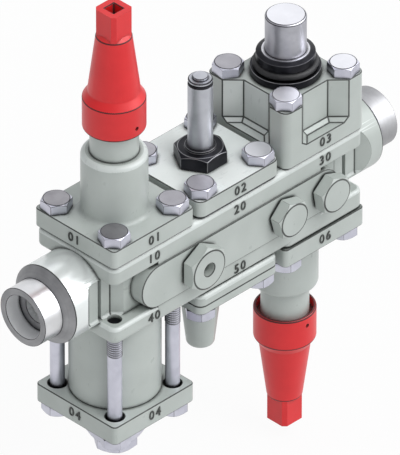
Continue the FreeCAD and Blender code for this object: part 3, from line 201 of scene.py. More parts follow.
world = bpy.data.worlds.new("studio")
world.use_nodes = True
tree = world.node_tree
tree.nodes.clear()
rays = node(tree, "ShaderNodeLightPath")
sky = node(tree, "ShaderNodeBackground")
sky.inputs["Color"].default_value = SKY_TINT
tree.links.new(ramp_along(tree, *DAYLIGHT), sky.inputs["Strength"])
mirrored = node(tree, "ShaderNodeBackground")
mirrored.inputs["Color"].default_value = ROOM_TINT
soft_box = ramp_along(tree, *SOFT_BOX)
both = node(tree, "ShaderNodeMath", operation="ADD")
tree.links.new(ramp_along(tree, *ROOM), both.inputs[0])
tree.links.new(soft_box, both.inputs[1])
tree.links.new(both.outputs[0], mirrored.inputs["Strength"])
white = node(tree, "ShaderNodeBackground")
white.inputs["Color"].default_value = (1, 1, 1, 1)
lighting = mixed(tree, rays.outputs["Is Glossy Ray"], sky.outputs[0], mirrored.outputs[0])
straight = either(tree, rays.outputs["Is Camera Ray"], rays.outputs["Is Transmission Ray"])
seen = mixed(tree, straight, lighting, white.outputs[0])
out = node(tree, "ShaderNodeOutputWorld")
tree.links.new(seen, out.inputs["Surface"])
bpy.context.scene.world = world
print("world:", len(tree.nodes), "nodes")

# %% Sun
KEY_FROM = Vector((0.1, -0.6, 0.75))
KEY_STRENGTH = 1.15
KEY_WIDTH = math.radians(40)

lamp = bpy.data.lights.new("key", "SUN")
lamp.energy = KEY_STRENGTH
lamp.angle = KEY_WIDTH
key = bpy.data.objects.new("key", lamp)
key.rotation_mode = "QUATERNION"
key.rotation_quaternion = KEY_FROM.to_track_quat("Z", "Y")
bpy.context.scene.collection.objects.link(key)
print("sun:", KEY_STRENGTH, "strong and", round(math.degrees(KEY_WIDTH)), "degrees wide")

# %% Floor
FLOOR_SIZE = 40
FLOOR_GAP = 12 * MM
PAPER_GREY = (0.8, 0.8, 0.8, 1)
SEEN_WHITE = 0.93
MIRRORED_WHITE = 0.6

floor_mesh = bmesh.new()
bmesh.ops.create_grid(floor_mesh, x_segments=1, y_segments=1, size=FLOOR_SIZE / 2)
floor_data = bpy.data.meshes.new("floor")
floor_mesh.to_mesh(floor_data)
floor_mesh.free()
floor = bpy.data.objects.new("floor", floor_data)
floor.location.z = cad_box[0].z - FLOOR_GAP
bpy.context.scene.collection.objects.link(floor)
print("floor at", round(floor.location.z / MM, 1), "mm")

# %% Paper
# It takes shadows, glows a little for the camera and in mirrors, and is clear from below.
paper = bpy.data.materials.new("paper")
paper.use_nodes = True
tree = paper.node_tree
tree.nodes.clear()
matt = node(tree, "ShaderNodeBsdfDiffuse")
matt.inputs["Color"].default_value = PAPER_GREY
glow = node(tree, "ShaderNodeEmission")
rays = node(tree, "ShaderNodeLightPath")
seen_bright = node(tree, "ShaderNodeMath", operation="MULTIPLY")
seen_bright.inputs[1].default_value = SEEN_WHITE
straight = either(tree, rays.outputs["Is Camera Ray"], rays.outputs["Is Transmission Ray"])
tree.links.new(straight, seen_bright.inputs[0])
mirrored_bright = node(tree, "ShaderNodeMath", operation="MULTIPLY")
mirrored_bright.inputs[1].default_value = MIRRORED_WHITE
tree.links.new(rays.outputs["Is Glossy Ray"], mirrored_bright.inputs[0])
share = either(tree, seen_bright.outputs[0], mirrored_bright.outputs[0])
lit = mixed(tree, share, matt.outputs[0], glow.outputs[0])
side = node(tree, "ShaderNodeNewGeometry")
clear = node(tree, "ShaderNodeBsdfTransparent")
above = mixed(tree, side.outputs["Backfacing"], lit, clear.outputs[0])
out = node(tree, "ShaderNodeOutputMaterial")
tree.links.new(above, out.inputs["Surface"])
floor_data.materials.append(paper)
print("paper:", len(tree.nodes), "nodes")

# %% [markdown]
# ## Effects that several finishes share
# Five node groups do the fine work: a fine grain for cast and coated faces, a slow drift between
# two tones, the rings that a lathe leaves, scuffs where hands and wrenches rub, and painted shade
# where two surfaces meet. The same nodes could be copied into every material. A group is built once
# and placed in a material with that material's own values, so a mend reaches all of them.

# %% Start a node group
def group(name, inputs, outputs):
    """A shader node group with its sockets. inputs are (name, kind, value), outputs (name, kind)."""
    made = bpy.data.node_groups.new(name, "ShaderNodeTree")
    for label, kind, start in inputs:
        socket = made.interface.new_socket(label, in_out="INPUT", socket_type="NodeSocket" + kind)
        if start is not None:
            socket.default_value = start
    for label, kind in outputs:
        made.interface.new_socket(label, in_out="OUTPUT", socket_type="NodeSocket" + kind)
    return made, node(made, "NodeGroupInput"), node(made, "NodeGroupOutput")


def noise(tree, vector, size, detail=3):
    """Noise whose grains are about size metres wide. size is a number or a socket."""
    made = node(tree, "ShaderNodeTexNoise")
    made.inputs["Detail"].default_value = detail
    scale = node(tree, "ShaderNodeMath", operation="DIVIDE")
    scale.inputs[0].default_value = 1
    if isinstance(size, float):
        scale.inputs[1].default_value = size
    else:
        tree.links.new(size, scale.inputs[1])
    tree.links.new(vector, made.inputs["Vector"])
    tree.links.new(scale.outputs[0], made.inputs["Scale"])
    return made.outputs["Fac"]


def spread(tree, value, low, high):
    """Stretches values between low and high to 0 and 1."""
    made = node(tree, "ShaderNodeMapRange")
    made.inputs["From Min"].default_value = low
    made.inputs["From Max"].default_value = high
    tree.links.new(value, made.inputs["Value"])
    return made.outputs["Result"]


def blended(tree, share, first, second):
    """Two colours mixed by a share of the second."""
    made = node(tree, "ShaderNodeMix", data_type="RGBA")
    tree.links.new(share, made.inputs["Factor"])
    tree.links.new(first, made.inputs["A"])
    tree.links.new(second, made.inputs["B"])
    return made.outputs["Result"]


# %% Grain and drift
DRIFT_DETAIL = 4
DRIFT_RANGE = (0.35, 0.65)
grain, start, end = group(
    "grain", [("Vector", "Vector", None), ("Size", "Float", 0.001)], [("Height", "Float")],
)
fine = noise(grain, start.outputs["Vector"], start.outputs["Size"])
grain.links.new(fine, end.inputs["Height"])

drift, start, end = group(
    "drift",
    [("Vector", "Vector", None), ("Size", "Float", 0.03), ("Low", "Color", (0, 0, 0, 1)),
     ("High", "Color", (1, 1, 1, 1))],
    [("Color", "Color")],
)
cloud = noise(drift, start.outputs["Vector"], start.outputs["Size"], DRIFT_DETAIL)
cloud = spread(drift, cloud, *DRIFT_RANGE)
drift.links.new(blended(drift, cloud, start.outputs["Low"], start.outputs["High"]), end.inputs["Color"])

# %% Lathe rings
RING_DETAIL = 2
rings, start, end = group(
    "lathe rings", [("Vector", "Vector", None), ("Pitch", "Float", 0.0006)], [("Height", "Float")],
)
parts = node(rings, "ShaderNodeSeparateXYZ")
flat = node(rings, "ShaderNodeCombineXYZ")
radius = node(rings, "ShaderNodeVectorMath", operation="LENGTH")
rings.links.new(start.outputs["Vector"], parts.inputs[0])
rings.links.new(parts.outputs["X"], flat.inputs["X"])
rings.links.new(parts.outputs["Y"], flat.inputs["Y"])
rings.links.new(flat.outputs[0], radius.inputs[0])
turned = node(rings, "ShaderNodeCombineXYZ")
rings.links.new(radius.outputs["Value"], turned.inputs["X"])
rings.links.new(parts.outputs["Z"], turned.inputs["Y"])
height = noise(rings, turned.outputs[0], start.outputs["Pitch"], RING_DETAIL)
rings.links.new(height, end.inputs["Height"])

# %% Scuffs
SCUFF_TURN = (0.5, 0.3, 0.7)
SCUFF_STRETCH = (1, 3.5, 1)
SCUFF_DETAIL = 5
SCUFF_RANGE = (0.6, 0.7)
scuffs, start, end = group(
    "scuffs", [("Vector", "Vector", None), ("Size", "Float", 0.006)], [("Mask", "Float")],
)
squeeze = node(scuffs, "ShaderNodeMapping")
squeeze.inputs["Rotation"].default_value = SCUFF_TURN
squeeze.inputs["Scale"].default_value = SCUFF_STRETCH
scuffs.links.new(start.outputs["Vector"], squeeze.inputs["Vector"])
rubbed = noise(scuffs, squeeze.outputs[0], start.outputs["Size"], SCUFF_DETAIL)
scuffs.links.new(spread(scuffs, rubbed, *SCUFF_RANGE), end.inputs["Mask"])

# %% Painted shade in corners
# Open is 1 on a free face and falls towards 0 where another surface is close. There the colour is
# painted darker as shade, with blotchy edges from noise.
# The painted shade is full below the first level of Open and gone above the second.
FULL_SHADE_AT = 0.55
NO_SHADE_AT = 0.98
BLOTCH = 4 * MM
BLOTCH_RANGE = (0.2, 0.8)
BLOTCH_SHARE = 0.12
painted_corner_shade, start, end = group(
    "painted_corner_shade",
    [("Vector", "Vector", None), ("Open", "Float", 1.0), ("Unshaded", "Color", (1, 1, 1, 1)),
     ("Dirt", "Color", (0.05, 0.05, 0.05, 1))],
    [("Color", "Color")],
)
blotches = spread(painted_corner_shade, noise(painted_corner_shade, start.outputs["Vector"], BLOTCH), *BLOTCH_RANGE)
uneven = node(painted_corner_shade, "ShaderNodeMath", operation="MULTIPLY_ADD")
uneven.inputs[1].default_value = BLOTCH_SHARE
painted_corner_shade.links.new(blotches, uneven.inputs[0])
painted_corner_shade.links.new(start.outputs["Open"], uneven.inputs[2])
free = spread(painted_corner_shade, uneven.outputs[0], FULL_SHADE_AT, NO_SHADE_AT)
painted_corner_shade.links.new(blended(painted_corner_shade, free, start.outputs["Dirt"], start.outputs["Unshaded"]), end.inputs["Color"])
print("node groups:", sorted(made.name for made in bpy.data.node_groups))

# %% [markdown]
# ## Finishes
# Each finish is a material with its own shader. The coat is a satin paint over a casting, whose
# grain shows as a faint bump. Machined steel shows the lathe's rings, so its pattern is centred
# on the axis that the piece was turned about. Zinc on the bolts is smooth and slightly blue. Coats
# and metals are painted a little darker, as shade, in corners and seams. Some finishes are lighter
# or darker copies of another, which paint highlights, reflections or shade onto chosen faces.
# Object coordinates place every pattern, so no piece has to be unwrapped.

# %% Place a group
def placed(tree, which, vector, **values):
    """A group in a material, reading the piece's Object coordinates."""
    made = node(tree, "ShaderNodeGroup")
    made.node_tree = which
    tree.links.new(vector, made.inputs["Vector"])
    for name, start_value in values.items():
        made.inputs[name].default_value = start_value
    return made.outputs[0]


def start_material(name, turn=(0, 0, 0), centre=(0, 0, 0)):
    """A material with its shader and its Object coordinates, moved and turned to an axis."""
    made = bpy.data.materials.new(name)
    made.use_nodes = True
    tree = made.node_tree
    shader = tree.nodes["Principled BSDF"]
    place = node(tree, "ShaderNodeMapping", vector_type="TEXTURE")
    place.inputs["Location"].default_value = centre
    place.inputs["Rotation"].default_value = turn
    tree.links.new(node(tree, "ShaderNodeTexCoord").outputs["Object"], place.inputs["Vector"])
    return made, tree, shader, place.outputs[0]


def bump(tree, shader, height, depth):
    """Feeds a height to the shader's normal."""
    made = node(tree, "ShaderNodeBump")
    made.inputs["Distance"].default_value = depth
    made.inputs["Strength"].default_value = 1
    tree.links.new(height, made.inputs["Height"])
    tree.links.new(made.outputs[0], shader.inputs["Normal"])


def between(tree, mask, low, high):
    """A value that runs from low to high with a mask."""
    made = node(tree, "ShaderNodeMapRange")
    made.inputs["To Min"].default_value = low
    made.inputs["To Max"].default_value = high
    tree.links.new(mask, made.inputs["Value"])
    return made.outputs["Result"]


# %% Painted corner shade in a material
SHADE_REACH = 2.8 * MM
SHADE_SAMPLES = 6


def shaded_in_corners(tree, vector, tone, shaded_tone):
    """A tone painted darker, as shade, where another surface comes close, as in a corner or a seam."""
    corners = node(tree, "ShaderNodeAmbientOcclusion", samples=SHADE_SAMPLES)
    corners.inputs["Distance"].default_value = SHADE_REACH
    layer = placed(tree, painted_corner_shade, vector, Dirt=(*shaded_tone, 1))
    tree.links.new(corners.outputs["AO"], layer.node.inputs["Open"])
    tree.links.new(tone, layer.node.inputs["Unshaded"])
    return layer


# %% Coats
COAT_DRIFT = 28 * MM
COAT_SCUFF = 9 * MM
# The colour of the painted shade in the coats' corners and seams.
COAT_SHADE = (0.05, 0.055, 0.05)
SCUFFED = 0.8
CAST_GRAIN = 0.9 * MM
SMOOTH_GRAIN = 0.7 * MM


def coat(name, low, high, rough, grain_depth, grain_size=CAST_GRAIN, metallic=0.0):
    """Paint over a casting: two close tones, satin, with the casting's grain under it."""
    made, tree, shader, vector = start_material(name)
    shader.inputs["Metallic"].default_value = metallic
    tone = placed(tree, drift, vector, Size=COAT_DRIFT, Low=(*low, 1), High=(*high, 1))
    tree.links.new(shaded_in_corners(tree, vector, tone, COAT_SHADE), shader.inputs["Base Color"])
    worn = placed(tree, scuffs, vector, Size=COAT_SCUFF)
    tree.links.new(between(tree, worn, rough, rough * SCUFFED), shader.inputs["Roughness"])
    bump(tree, shader, placed(tree, grain, vector, Size=grain_size), grain_depth)
    return made


DEEP = 0.04 * MM
FAIR = 0.03 * MM
FAINT = 0.02 * MM
grey_coat = coat("grey_green_coat", (0.455, 0.49, 0.465), (0.5, 0.535, 0.51), 0.34, DEEP)
grey_edge = coat("grey_green_edge", (0.03, 0.032, 0.03), (0.09, 0.095, 0.09), 0.6, FAIR)
# The next three are lighter copies of the coat, as painted light: a glossier painted highlight on the inlet
# boss, a painted highlight on the solenoid cover's top, and a painted highlight on the small upper rounds,
# which also lifts the shade in the motor body's left pocket.
boss_highlight_coat = coat("grey_green_painted_boss_highlight", (0.78, 0.81, 0.8), (0.84, 0.87, 0.86), 0.24, FAINT, metallic=0.4)
top_highlight_coat = coat("grey_green_painted_top_highlight", (0.76, 0.8, 0.78), (0.83, 0.87, 0.85), 0.3, FAIR)
painted_light_coat = coat("grey_green_painted_light", (0.62, 0.655, 0.635), (0.68, 0.715, 0.695), 0.3, FAIR)
red_coat = coat("red_coat", (0.68, 0.012, 0.016), (0.76, 0.018, 0.022), 0.36, FAINT, SMOOTH_GRAIN)
red_edge = coat("red_edge", (0.03, 0.006, 0.007), (0.09, 0.008, 0.009), 0.6, FAINT, SMOOTH_GRAIN)

# %% Metals
METAL_DRIFT = 12 * MM
# The colour of the painted shade in the metals' corners and seams.
METAL_SHADE = (0.04, 0.04, 0.045)
SMOOTHEST = 0.8
ROUGHEST = 1.3


def metal(
    name, low, high, rough, turn=(0, 0, 0), centre=(0, 0, 0), pitch=0.6 * MM, depth=0.02 * MM, metallic=1.0,
):
    """Bare or plated metal with the rings of a lathe about an axis."""
    made, tree, shader, vector = start_material(name, turn, centre)
    shader.inputs["Metallic"].default_value = metallic
    tone = placed(tree, drift, vector, Size=METAL_DRIFT, Low=(*low, 1), High=(*high, 1))
    tree.links.new(shaded_in_corners(tree, vector, tone, METAL_SHADE), shader.inputs["Base Color"])
    marks = placed(tree, rings, vector, Pitch=pitch)
    tree.links.new(between(tree, marks, rough * SMOOTHEST, rough * ROUGHEST), shader.inputs["Roughness"])
    bump(tree, shader, marks, depth)
    return made


# %% Weld ends, turned about the flow axis
STUB = {"turn": (0, math.pi / 2, 0), "pitch": 1 * MM}
stub_steel = metal("turned_stub_steel", (0.68, 0.68, 0.69), (0.78, 0.78, 0.79), 0.3, **STUB)
# Painted light on the weld ends: the outlet end's steel is a darker copy of the same steel, as painted
# shade, the bore steel a lighter copy painted into the bores, and the end steel a darker copy painted as
# shade on the cones and sawn ends.
outlet_shade_steel = metal("outlet_stub_painted_shade", (0.36, 0.36, 0.37), (0.43, 0.43, 0.44), 0.5, **STUB)
bore_light_steel = metal("stub_bore_painted_light", (0.86, 0.86, 0.87), (0.94, 0.94, 0.95), 0.5, metallic=0.35, **STUB)
end_shade_steel = metal("stub_end_painted_shade", (0.3, 0.3, 0.31), (0.38, 0.38, 0.39), 0.5, **STUB)

# %% Pieces turned about an upright axis
FIRST = (AXIS_ONE, 0, 0)
SECOND = (AXIS_TWO, 0, 0)
THIRD = (AXIS_THREE, 0, 0)
armature_steel = metal("armature_tube_steel", (0.5, 0.51, 0.55), (0.58, 0.59, 0.63), 0.42, centre=SECOND)
actuator_steel = metal("actuator_tube_steel", (0.4, 0.4, 0.44), (0.5, 0.5, 0.54), 0.38, centre=THIRD)
inner_steel = metal("inner_steel", (0.5, 0.5, 0.52), (0.6, 0.6, 0.62), 0.34, centre=FIRST)
# The blackened steel is a real finish, and is also painted onto the strainer bolts' ends in the housing's
# holes and into the armature tube's clip groove, as painted shade.
blackened_and_shade = metal("blackened_steel", (0.018, 0.018, 0.022), (0.03, 0.03, 0.035), 0.34, centre=THIRD)
blackened_edge = metal("blackened_steel_edge", (0.16, 0.16, 0.17), (0.3, 0.3, 0.31), 0.36, centre=THIRD)

# %% Bolts and wire
HEAD = {"pitch": 0.9 * MM, "depth": 0.008 * MM}
zinc = metal("zinc_plating", (0.56, 0.56, 0.64), (0.66, 0.66, 0.74), 0.38, **HEAD)
zinc_edge = metal("zinc_edge", (0.04, 0.04, 0.045), (0.1, 0.1, 0.11), 0.5, **HEAD)
# The three bolt top finishes are one zinc painted darker or lighter, as a painted reflection that brightens
# from left to right in the picture. The brightest is also a painted highlight on the actuator tube's top.
top_dark_reflection = metal("bolt_top_painted_dark", (0.3, 0.29, 0.31), (0.38, 0.37, 0.39), 0.45, **HEAD)
top_mid_reflection = metal("bolt_top_painted_mid", (0.4, 0.39, 0.42), (0.46, 0.45, 0.48), 0.42, **HEAD)
top_lit_reflection = metal("bolt_top_painted_bright", (0.84, 0.84, 0.88), (0.9, 0.9, 0.94), 0.4, **HEAD)
thread_steel = metal("rolled_thread_steel", (0.2, 0.2, 0.22), (0.26, 0.26, 0.28), 0.4, pitch=0.9 * MM)
wire_steel = metal("spring_wire", (0.42, 0.42, 0.44), (0.5, 0.5, 0.52), 0.3, pitch=0.5 * MM)

# %% Rubber, fibre and polymer
DULL_DRIFT = 8 * MM
DULL_SHEEN = 0.85


def dull(name, low, high, rough, grain_size, grain_depth):
    """A soft or pressed material with no shine."""
    made, tree, shader, vector = start_material(name)
    tone = placed(tree, drift, vector, Size=DULL_DRIFT, Low=(*low, 1), High=(*high, 1))
    tree.links.new(tone, shader.inputs["Base Color"])
    fine_grain = placed(tree, grain, vector, Size=grain_size)
    tree.links.new(between(tree, fine_grain, rough * DULL_SHEEN, rough), shader.inputs["Roughness"])
    bump(tree, shader, fine_grain, grain_depth)
    return made


rubber = dull("black_rubber", (0.01, 0.01, 0.011), (0.018, 0.018, 0.02), 0.62, 0.4 * MM, 0.01 * MM)
fibre = dull("pressed_fibre", (0.03, 0.033, 0.035), (0.055, 0.058, 0.06), 0.85, 0.5 * MM, 0.03 * MM)
polymer = dull("seat_polymer", (0.68, 0.68, 0.64), (0.76, 0.76, 0.72), 0.5, 0.6 * MM, 0.01 * MM)
print("materials so far:", len(bpy.data.materials))

# %% [markdown]
# ## Dress the CAD nodes
# A CAD mesh is loose triangles with razor edges, and real edges are never that sharp. So each
# visible node gets a merged copy whose corners are eased by a fraction of a millimetre. A bevel
# modifier could do that, but it narrows every edge to what the tightest spot of the piece allows,
# so here each chain of edges is bevelled by itself. The new narrow faces take a dark edge finish,
# where the coat is worn off and dirt has caught. The weighted normals keep the flat faces flat.
# Pieces sealed inside keep their own mesh and only get a material.

# %% Sharp edges, one chain at a time
MERGE = 0.001 * MM
FLAT = math.radians(0.3)
SHARP = math.radians(22)


def sharp_edges(work):
    """Edges between two faces that meet at more than the sharp angle."""
    return [edge for edge in work.edges if len(edge.link_faces) == 2 and edge.calc_face_angle() > SHARP]


def chains(edges):
    """Groups of edges that touch each other, in the mesh's own order."""
    left = set(edges)
    groups = []
    for first in edges:
        if first not in left:
            continue
        left.discard(first)
        reached = [first]
        for edge in reached:
            for other in [beside for vertex in edge.verts for beside in vertex.link_edges]:
                if other in left:
                    left.discard(other)
                    reached.append(other)
        groups.append(reached)
    return groups


def ease(work, width, segments=2):
    """Rounds the sharp edges, one chain at a time, so that a tight spot narrows only its own chain."""
    for chain in chains(sharp_edges(work)):
        bmesh.ops.bevel(
            work, geom=[edge for edge in chain if edge.is_valid], offset=width, offset_type="OFFSET",
            segments=segments, profile=0.5, affect="EDGES", clamp_overlap=True, material=1,
        )


# %% One rounded copy
def shade(work):
    """Smooth faces, with sharp edges left sharp."""
    for face in work.faces:
        face.smooth = True
    for edge in work.edges:
        edge.smooth = len(edge.link_faces) == 2 and edge.calc_face_angle() < SHARP


def finish_piece(work, name, body, materials):
    """Turns a bmesh into a piece that rides on a CAD body."""
    shade(work)
    data = bpy.data.meshes.new(name)
    work.to_mesh(data)
    work.free()
    for material in materials:
        data.materials.append(material)
    piece = bpy.data.objects.new(name, data)
    bpy.context.scene.collection.objects.link(piece)
    even = piece.modifiers.new("even shading", "WEIGHTED_NORMAL")
    even.keep_sharp = True
    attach(piece, body)
    return piece


def merged(name):
    """A bmesh of a CAD node with its triangles joined."""
    work = bmesh.new()
    work.from_mesh(nodes[name].data)
    bmesh.ops.remove_doubles(work, verts=work.verts, dist=MERGE)
    bmesh.ops.dissolve_limit(work, angle_limit=FLAT, verts=work.verts, edges=work.edges)
    for face in work.faces:
        face.material_index = 0
    return work


def dressed(name, finish, edge_finish, width, special=()):
    """A merged copy of a CAD node with eased edges, which stands for the node.

    special holds pairs of a finish and a rule that says which faces it goes on."""
    work = merged(name)
    for index, (_, rule) in enumerate(special, start=2):
        for face in work.faces:
            if rule(face):
                face.material_index = index
    if width:
        ease(work, width)
    body = nodes[name]["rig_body"]
    materials = [finish, edge_finish] + [other for other, _ in special]
    piece = finish_piece(work, name + "_dressed", body, materials)
    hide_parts(name)
    return piece


# %% [markdown]
# ## Which finish goes where
# A node's slot in the CAD record names its finish and how wide its edges are eased. A material
# could be set on each piece by hand, but the slots keep pieces of one kind alike.

# %% Finishes by slot
CAST_EASE = 0.6 * MM
STEEL_EASE = 0.35 * MM
BLACK_EASE = 0.3 * MM
SLOTS = {
    "coated_casting": (grey_coat, grey_edge, CAST_EASE),
    "machined_steel": (inner_steel, zinc_edge, STEEL_EASE),
    "zinc_fastener": (zinc, zinc_edge, STEEL_EASE),
    "red_cap": (red_coat, red_edge, CAST_EASE),
    "blackened_steel": (blackened_and_shade, blackened_edge, BLACK_EASE),
}
PLAIN = {"black_rubber": rubber, "gasket": fibre, "seat": polymer}
SEALED = [
    "inlet_cone", "inlet_spindle", "inlet_gland", "outlet_cone", "outlet_spindle", "outlet_gland",
    "strainer_screen", "armature", "pilot_piston", "motor_rotor", "motor_cone", "opener_spindle",
    "opener_ring", "opener_gland",
]
OWN_FINISH = {
    "inlet_stub": stub_steel, "outlet_stub": outlet_shade_steel, "armature_tube": armature_steel,
    "motor_tube": actuator_steel,
}

# %% [markdown]
# ## Faces with a finish of their own
# Some faces differ from the rest of their piece, most of them by painted light. The small rounds
# along a casting's upper edges get a painted highlight. The tops of the bolt heads get a painted
# reflection of the room behind them, which brightens from left to right in the picture. The cones
# and sawn ends of the weld ends are painted in shade, and their bores are painted light. Such faces
# could be picked by their numbers, but the numbers change with the CAD model. So each rule looks at
# one face of the merged copy, at its direction, its size and its place.

# %% Sizes that the rules use
HALF = 37 * MM
COVER_MIDDLE = DECK_TOP + 7 * MM
UPRIGHT = 0.999
HEAD_AREA = 150 * MM * MM
ROUND_WIDTH = 0.8 * MM
ROUND_SLOPE = (0.05, 0.98)
SHOULDER = DECK_TOP + 30 * MM
LEFT_TOPS = 110 * MM
RIGHT_TOPS = 205 * MM

# %% Rounds
def highlit_round(face):
    """A narrow face that slopes upwards, as on a casting's upper rounds, for a painted highlight."""
    least, most = ROUND_SLOPE
    longest = max(edge.calc_length() for edge in face.edges)
    return least < face.normal.z < most and face.calc_area() < longest * ROUND_WIDTH


def shoulder_round(face):
    """The round at the top of the inlet bonnet's column, which gets a painted highlight."""
    return highlit_round(face) and face.calc_center_median().z > SHOULDER


# %% Bolts
def top_of_head(face):
    """The round flat on a bolt's head."""
    return abs(face.normal.z) > UPRIGHT and face.calc_area() > HEAD_AREA


def towards_right(face):
    """How far a face lies to the right in the picture, along the row and forwards from its start."""
    place = face.calc_center_median()
    return place.x - place.y


def left_top(face):
    """A bolt's top on the left of the picture, with a dark painted reflection of the room's dark side."""
    return top_of_head(face) and towards_right(face) < LEFT_TOPS


def middle_top(face):
    """A bolt's top near the middle, with a middling painted reflection."""
    return top_of_head(face) and LEFT_TOPS <= towards_right(face) < RIGHT_TOPS


def right_top(face):
    """A bolt's top on the right, with a bright painted reflection of the room's bright side."""
    return top_of_head(face) and towards_right(face) >= RIGHT_TOPS


def bolt_end(face):
    """The ends of the long bolts in the holes of the housing, painted dark as the holes' shade."""
    return face.normal.z > UPRIGHT and face.calc_center_median().z > DECK_LOW


# %% Weld ends and boss
BOSS_EDGE = 0.97 * 28.6 * MM
BORE_REACH = 18 * MM
ALONG = 0.1
ACROSS = 0.3


def on_end(face):
    """A face of a weld end that looks along the row: its cone and its sawn end, painted as shade."""
    return abs(face.normal.x) > ACROSS


def in_bore(face):
    """The wide bore of a weld end, which is painted light."""
    return abs(face.normal.x) < ALONG and face.calc_center_median().yz.length < BORE_REACH


def on_boss(face):
    """The round of the inlet's boss, which gets a lighter, glossier painted highlight."""
    place = face.calc_center_median()
    outside = place.x < AXIS_ONE - HALF
    return outside and abs(face.normal.x) < ALONG and place.yz.length > BOSS_EDGE


# %% Covers, caps and tubes
POCKET_X = (AXIS_THREE - HALF + 1 * MM, AXIS_THREE - 12 * MM)
POCKET_HALF = 22 * MM
SKIRT = 20.5 * MM
SKIRT_SLOPE = (0.05, 0.5)
CAN_EDGE = 14.5 * MM
GROOVE_HEIGHT = COVER_MIDDLE + 50 * MM
GROOVE_REACH = (6 * MM, 8 * MM)


def left_pocket(face):
    """The walls and floor of the motor body's left pocket, painted lighter to lift their shade."""
    place = face.calc_center_median()
    return POCKET_X[0] < place.x < POCKET_X[1] and abs(place.y) < POCKET_HALF


def on_top(face):
    """A level face above the covers' middle, such as the solenoid cover's top, for a painted highlight."""
    return face.normal.z > UPRIGHT and face.calc_center_median().z > COVER_MIDDLE


def from_axis(face, axis):
    """How far a face's middle lies from an upright axis."""
    place = face.calc_center_median()
    return math.hypot(place.x - axis, place.y)


def on_shoulder_edge(face):
    """The small round between a red cap's skirt and its shoulder."""
    reach = min(from_axis(face, AXIS_ONE), from_axis(face, AXIS_THREE))
    return reach > SKIRT and SKIRT_SLOPE[0] < abs(face.normal.z) < SKIRT_SLOPE[1]


def on_collar(face):
    """The collar and the foot of the actuator tube, which are blackened."""
    return from_axis(face, AXIS_THREE) > CAN_EDGE


def in_groove(face):
    """The bottom of the armature tube's clip groove, painted dark as its shade."""
    high_up = face.calc_center_median().z > GROOVE_HEIGHT
    return high_up and GROOVE_REACH[0] < from_axis(face, AXIS_TWO) < GROOVE_REACH[1]


# %% Rules by node
# Painted light placed by these rules: reflections on the bolt tops, highlights on the housing's rounds and
# boss, the inlet bonnet's shoulder, the opener cover's rounds, the solenoid cover's top and the actuator
# tube's top, a lift of the shade in the motor body's left pocket, light in the weld ends' bores, and
# painted shade on the weld ends' cones and ends, the strainer bolts' ends and the armature tube's groove.
TOPS = [(top_dark_reflection, left_top), (top_mid_reflection, middle_top), (top_lit_reflection, right_top)]
SPECIAL = {
    "inlet_bonnet_bolts": TOPS,
    "solenoid_bolts": TOPS,
    "motor_bolts": TOPS,
    "strainer_bolts": [(blackened_and_shade, bolt_end)],
    "inlet_stub": [(end_shade_steel, on_end), (bore_light_steel, in_bore)],
    "outlet_stub": [(end_shade_steel, on_end), (bore_light_steel, in_bore)],
    "housing": [(boss_highlight_coat, on_boss), (painted_light_coat, highlit_round)],
    "inlet_bonnet": [(painted_light_coat, shoulder_round)],
    "opener_cover": [(painted_light_coat, highlit_round)],
    "inlet_cap": [(red_edge, on_shoulder_edge)],
    "outlet_cap": [(red_edge, on_shoulder_edge)],
    "solenoid_cover": [(top_highlight_coat, on_top)],
    "motor_body": [(painted_light_coat, left_pocket)],
    "motor_tube": [(top_lit_reflection, on_top), (blackened_and_shade, on_collar)],
    "armature_tube": [(blackened_and_shade, in_groove)],
}

# %% Dress every node
def keep_mesh(name, material):
    """Gives a node that keeps its CAD mesh one material."""
    nodes[name].data.materials.clear()
    nodes[name].data.materials.append(material)


slot_of = {entry["node"]: entry["material_slot"] for entry in frame["record"]["subparts"]}
for name, slot in sorted(slot_of.items()):
    if slot == "spring":
        continue
    if slot in PLAIN:
        keep_mesh(name, PLAIN[slot])
        continue
    finish, edge_finish, width = SLOTS[slot]
    finish = OWN_FINISH.get(name, finish)
    if name in SEALED:
        keep_mesh(name, finish)
        continue
    piece = dressed(name, finish, edge_finish, width, SPECIAL.get(name, ()))
    print(name, len(piece.data.polygons), "faces")

# %% [markdown]
# ## Springs
# Two springs are pressed together when what they push on is lifted. A rigid coil would be cut
# through by it. Here each spring only gets a dressed copy with a mesh of its own; the joint and
# the travel listed with it are not used.

# %% Springs
SPRINGS = [("armature_spring", "armature_lift", 4 * MM), ("piston_spring", "piston_lift", 6 * MM)]
for name, joint, travel in SPRINGS:
    coil = dressed(name, wire_steel, wire_steel, 0)
    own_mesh(coil)

# %% [markdown]
# ## Threads on the long bolts
# The strainer's bolts stand free between its cover and the housing, so the first turns of their
# thread show below the housing. A bump could draw it, but it would leave the outline smooth. A
# rolled thread stands a little proud of its shank. One tooth, a triangle whose foot lies just
# inside the shank, is spun round it and moved along it at the same time. That makes a real helix,
# closed at both ends.

# %% Rolled thread
THREAD_PITCH = 1.75 * MM
THREAD_CREST = 5.35 * MM
THREAD_ROOT = 4.9 * MM
THREAD_TURNS = 8
THREAD_START = DECK_LOW - 0.5 * MM
STEPS = 20
BOLT_HALF = 27 * MM
TOOTH = ((THREAD_ROOT, 0), (THREAD_CREST, -THREAD_PITCH / 2), (THREAD_ROOT, -THREAD_PITCH))

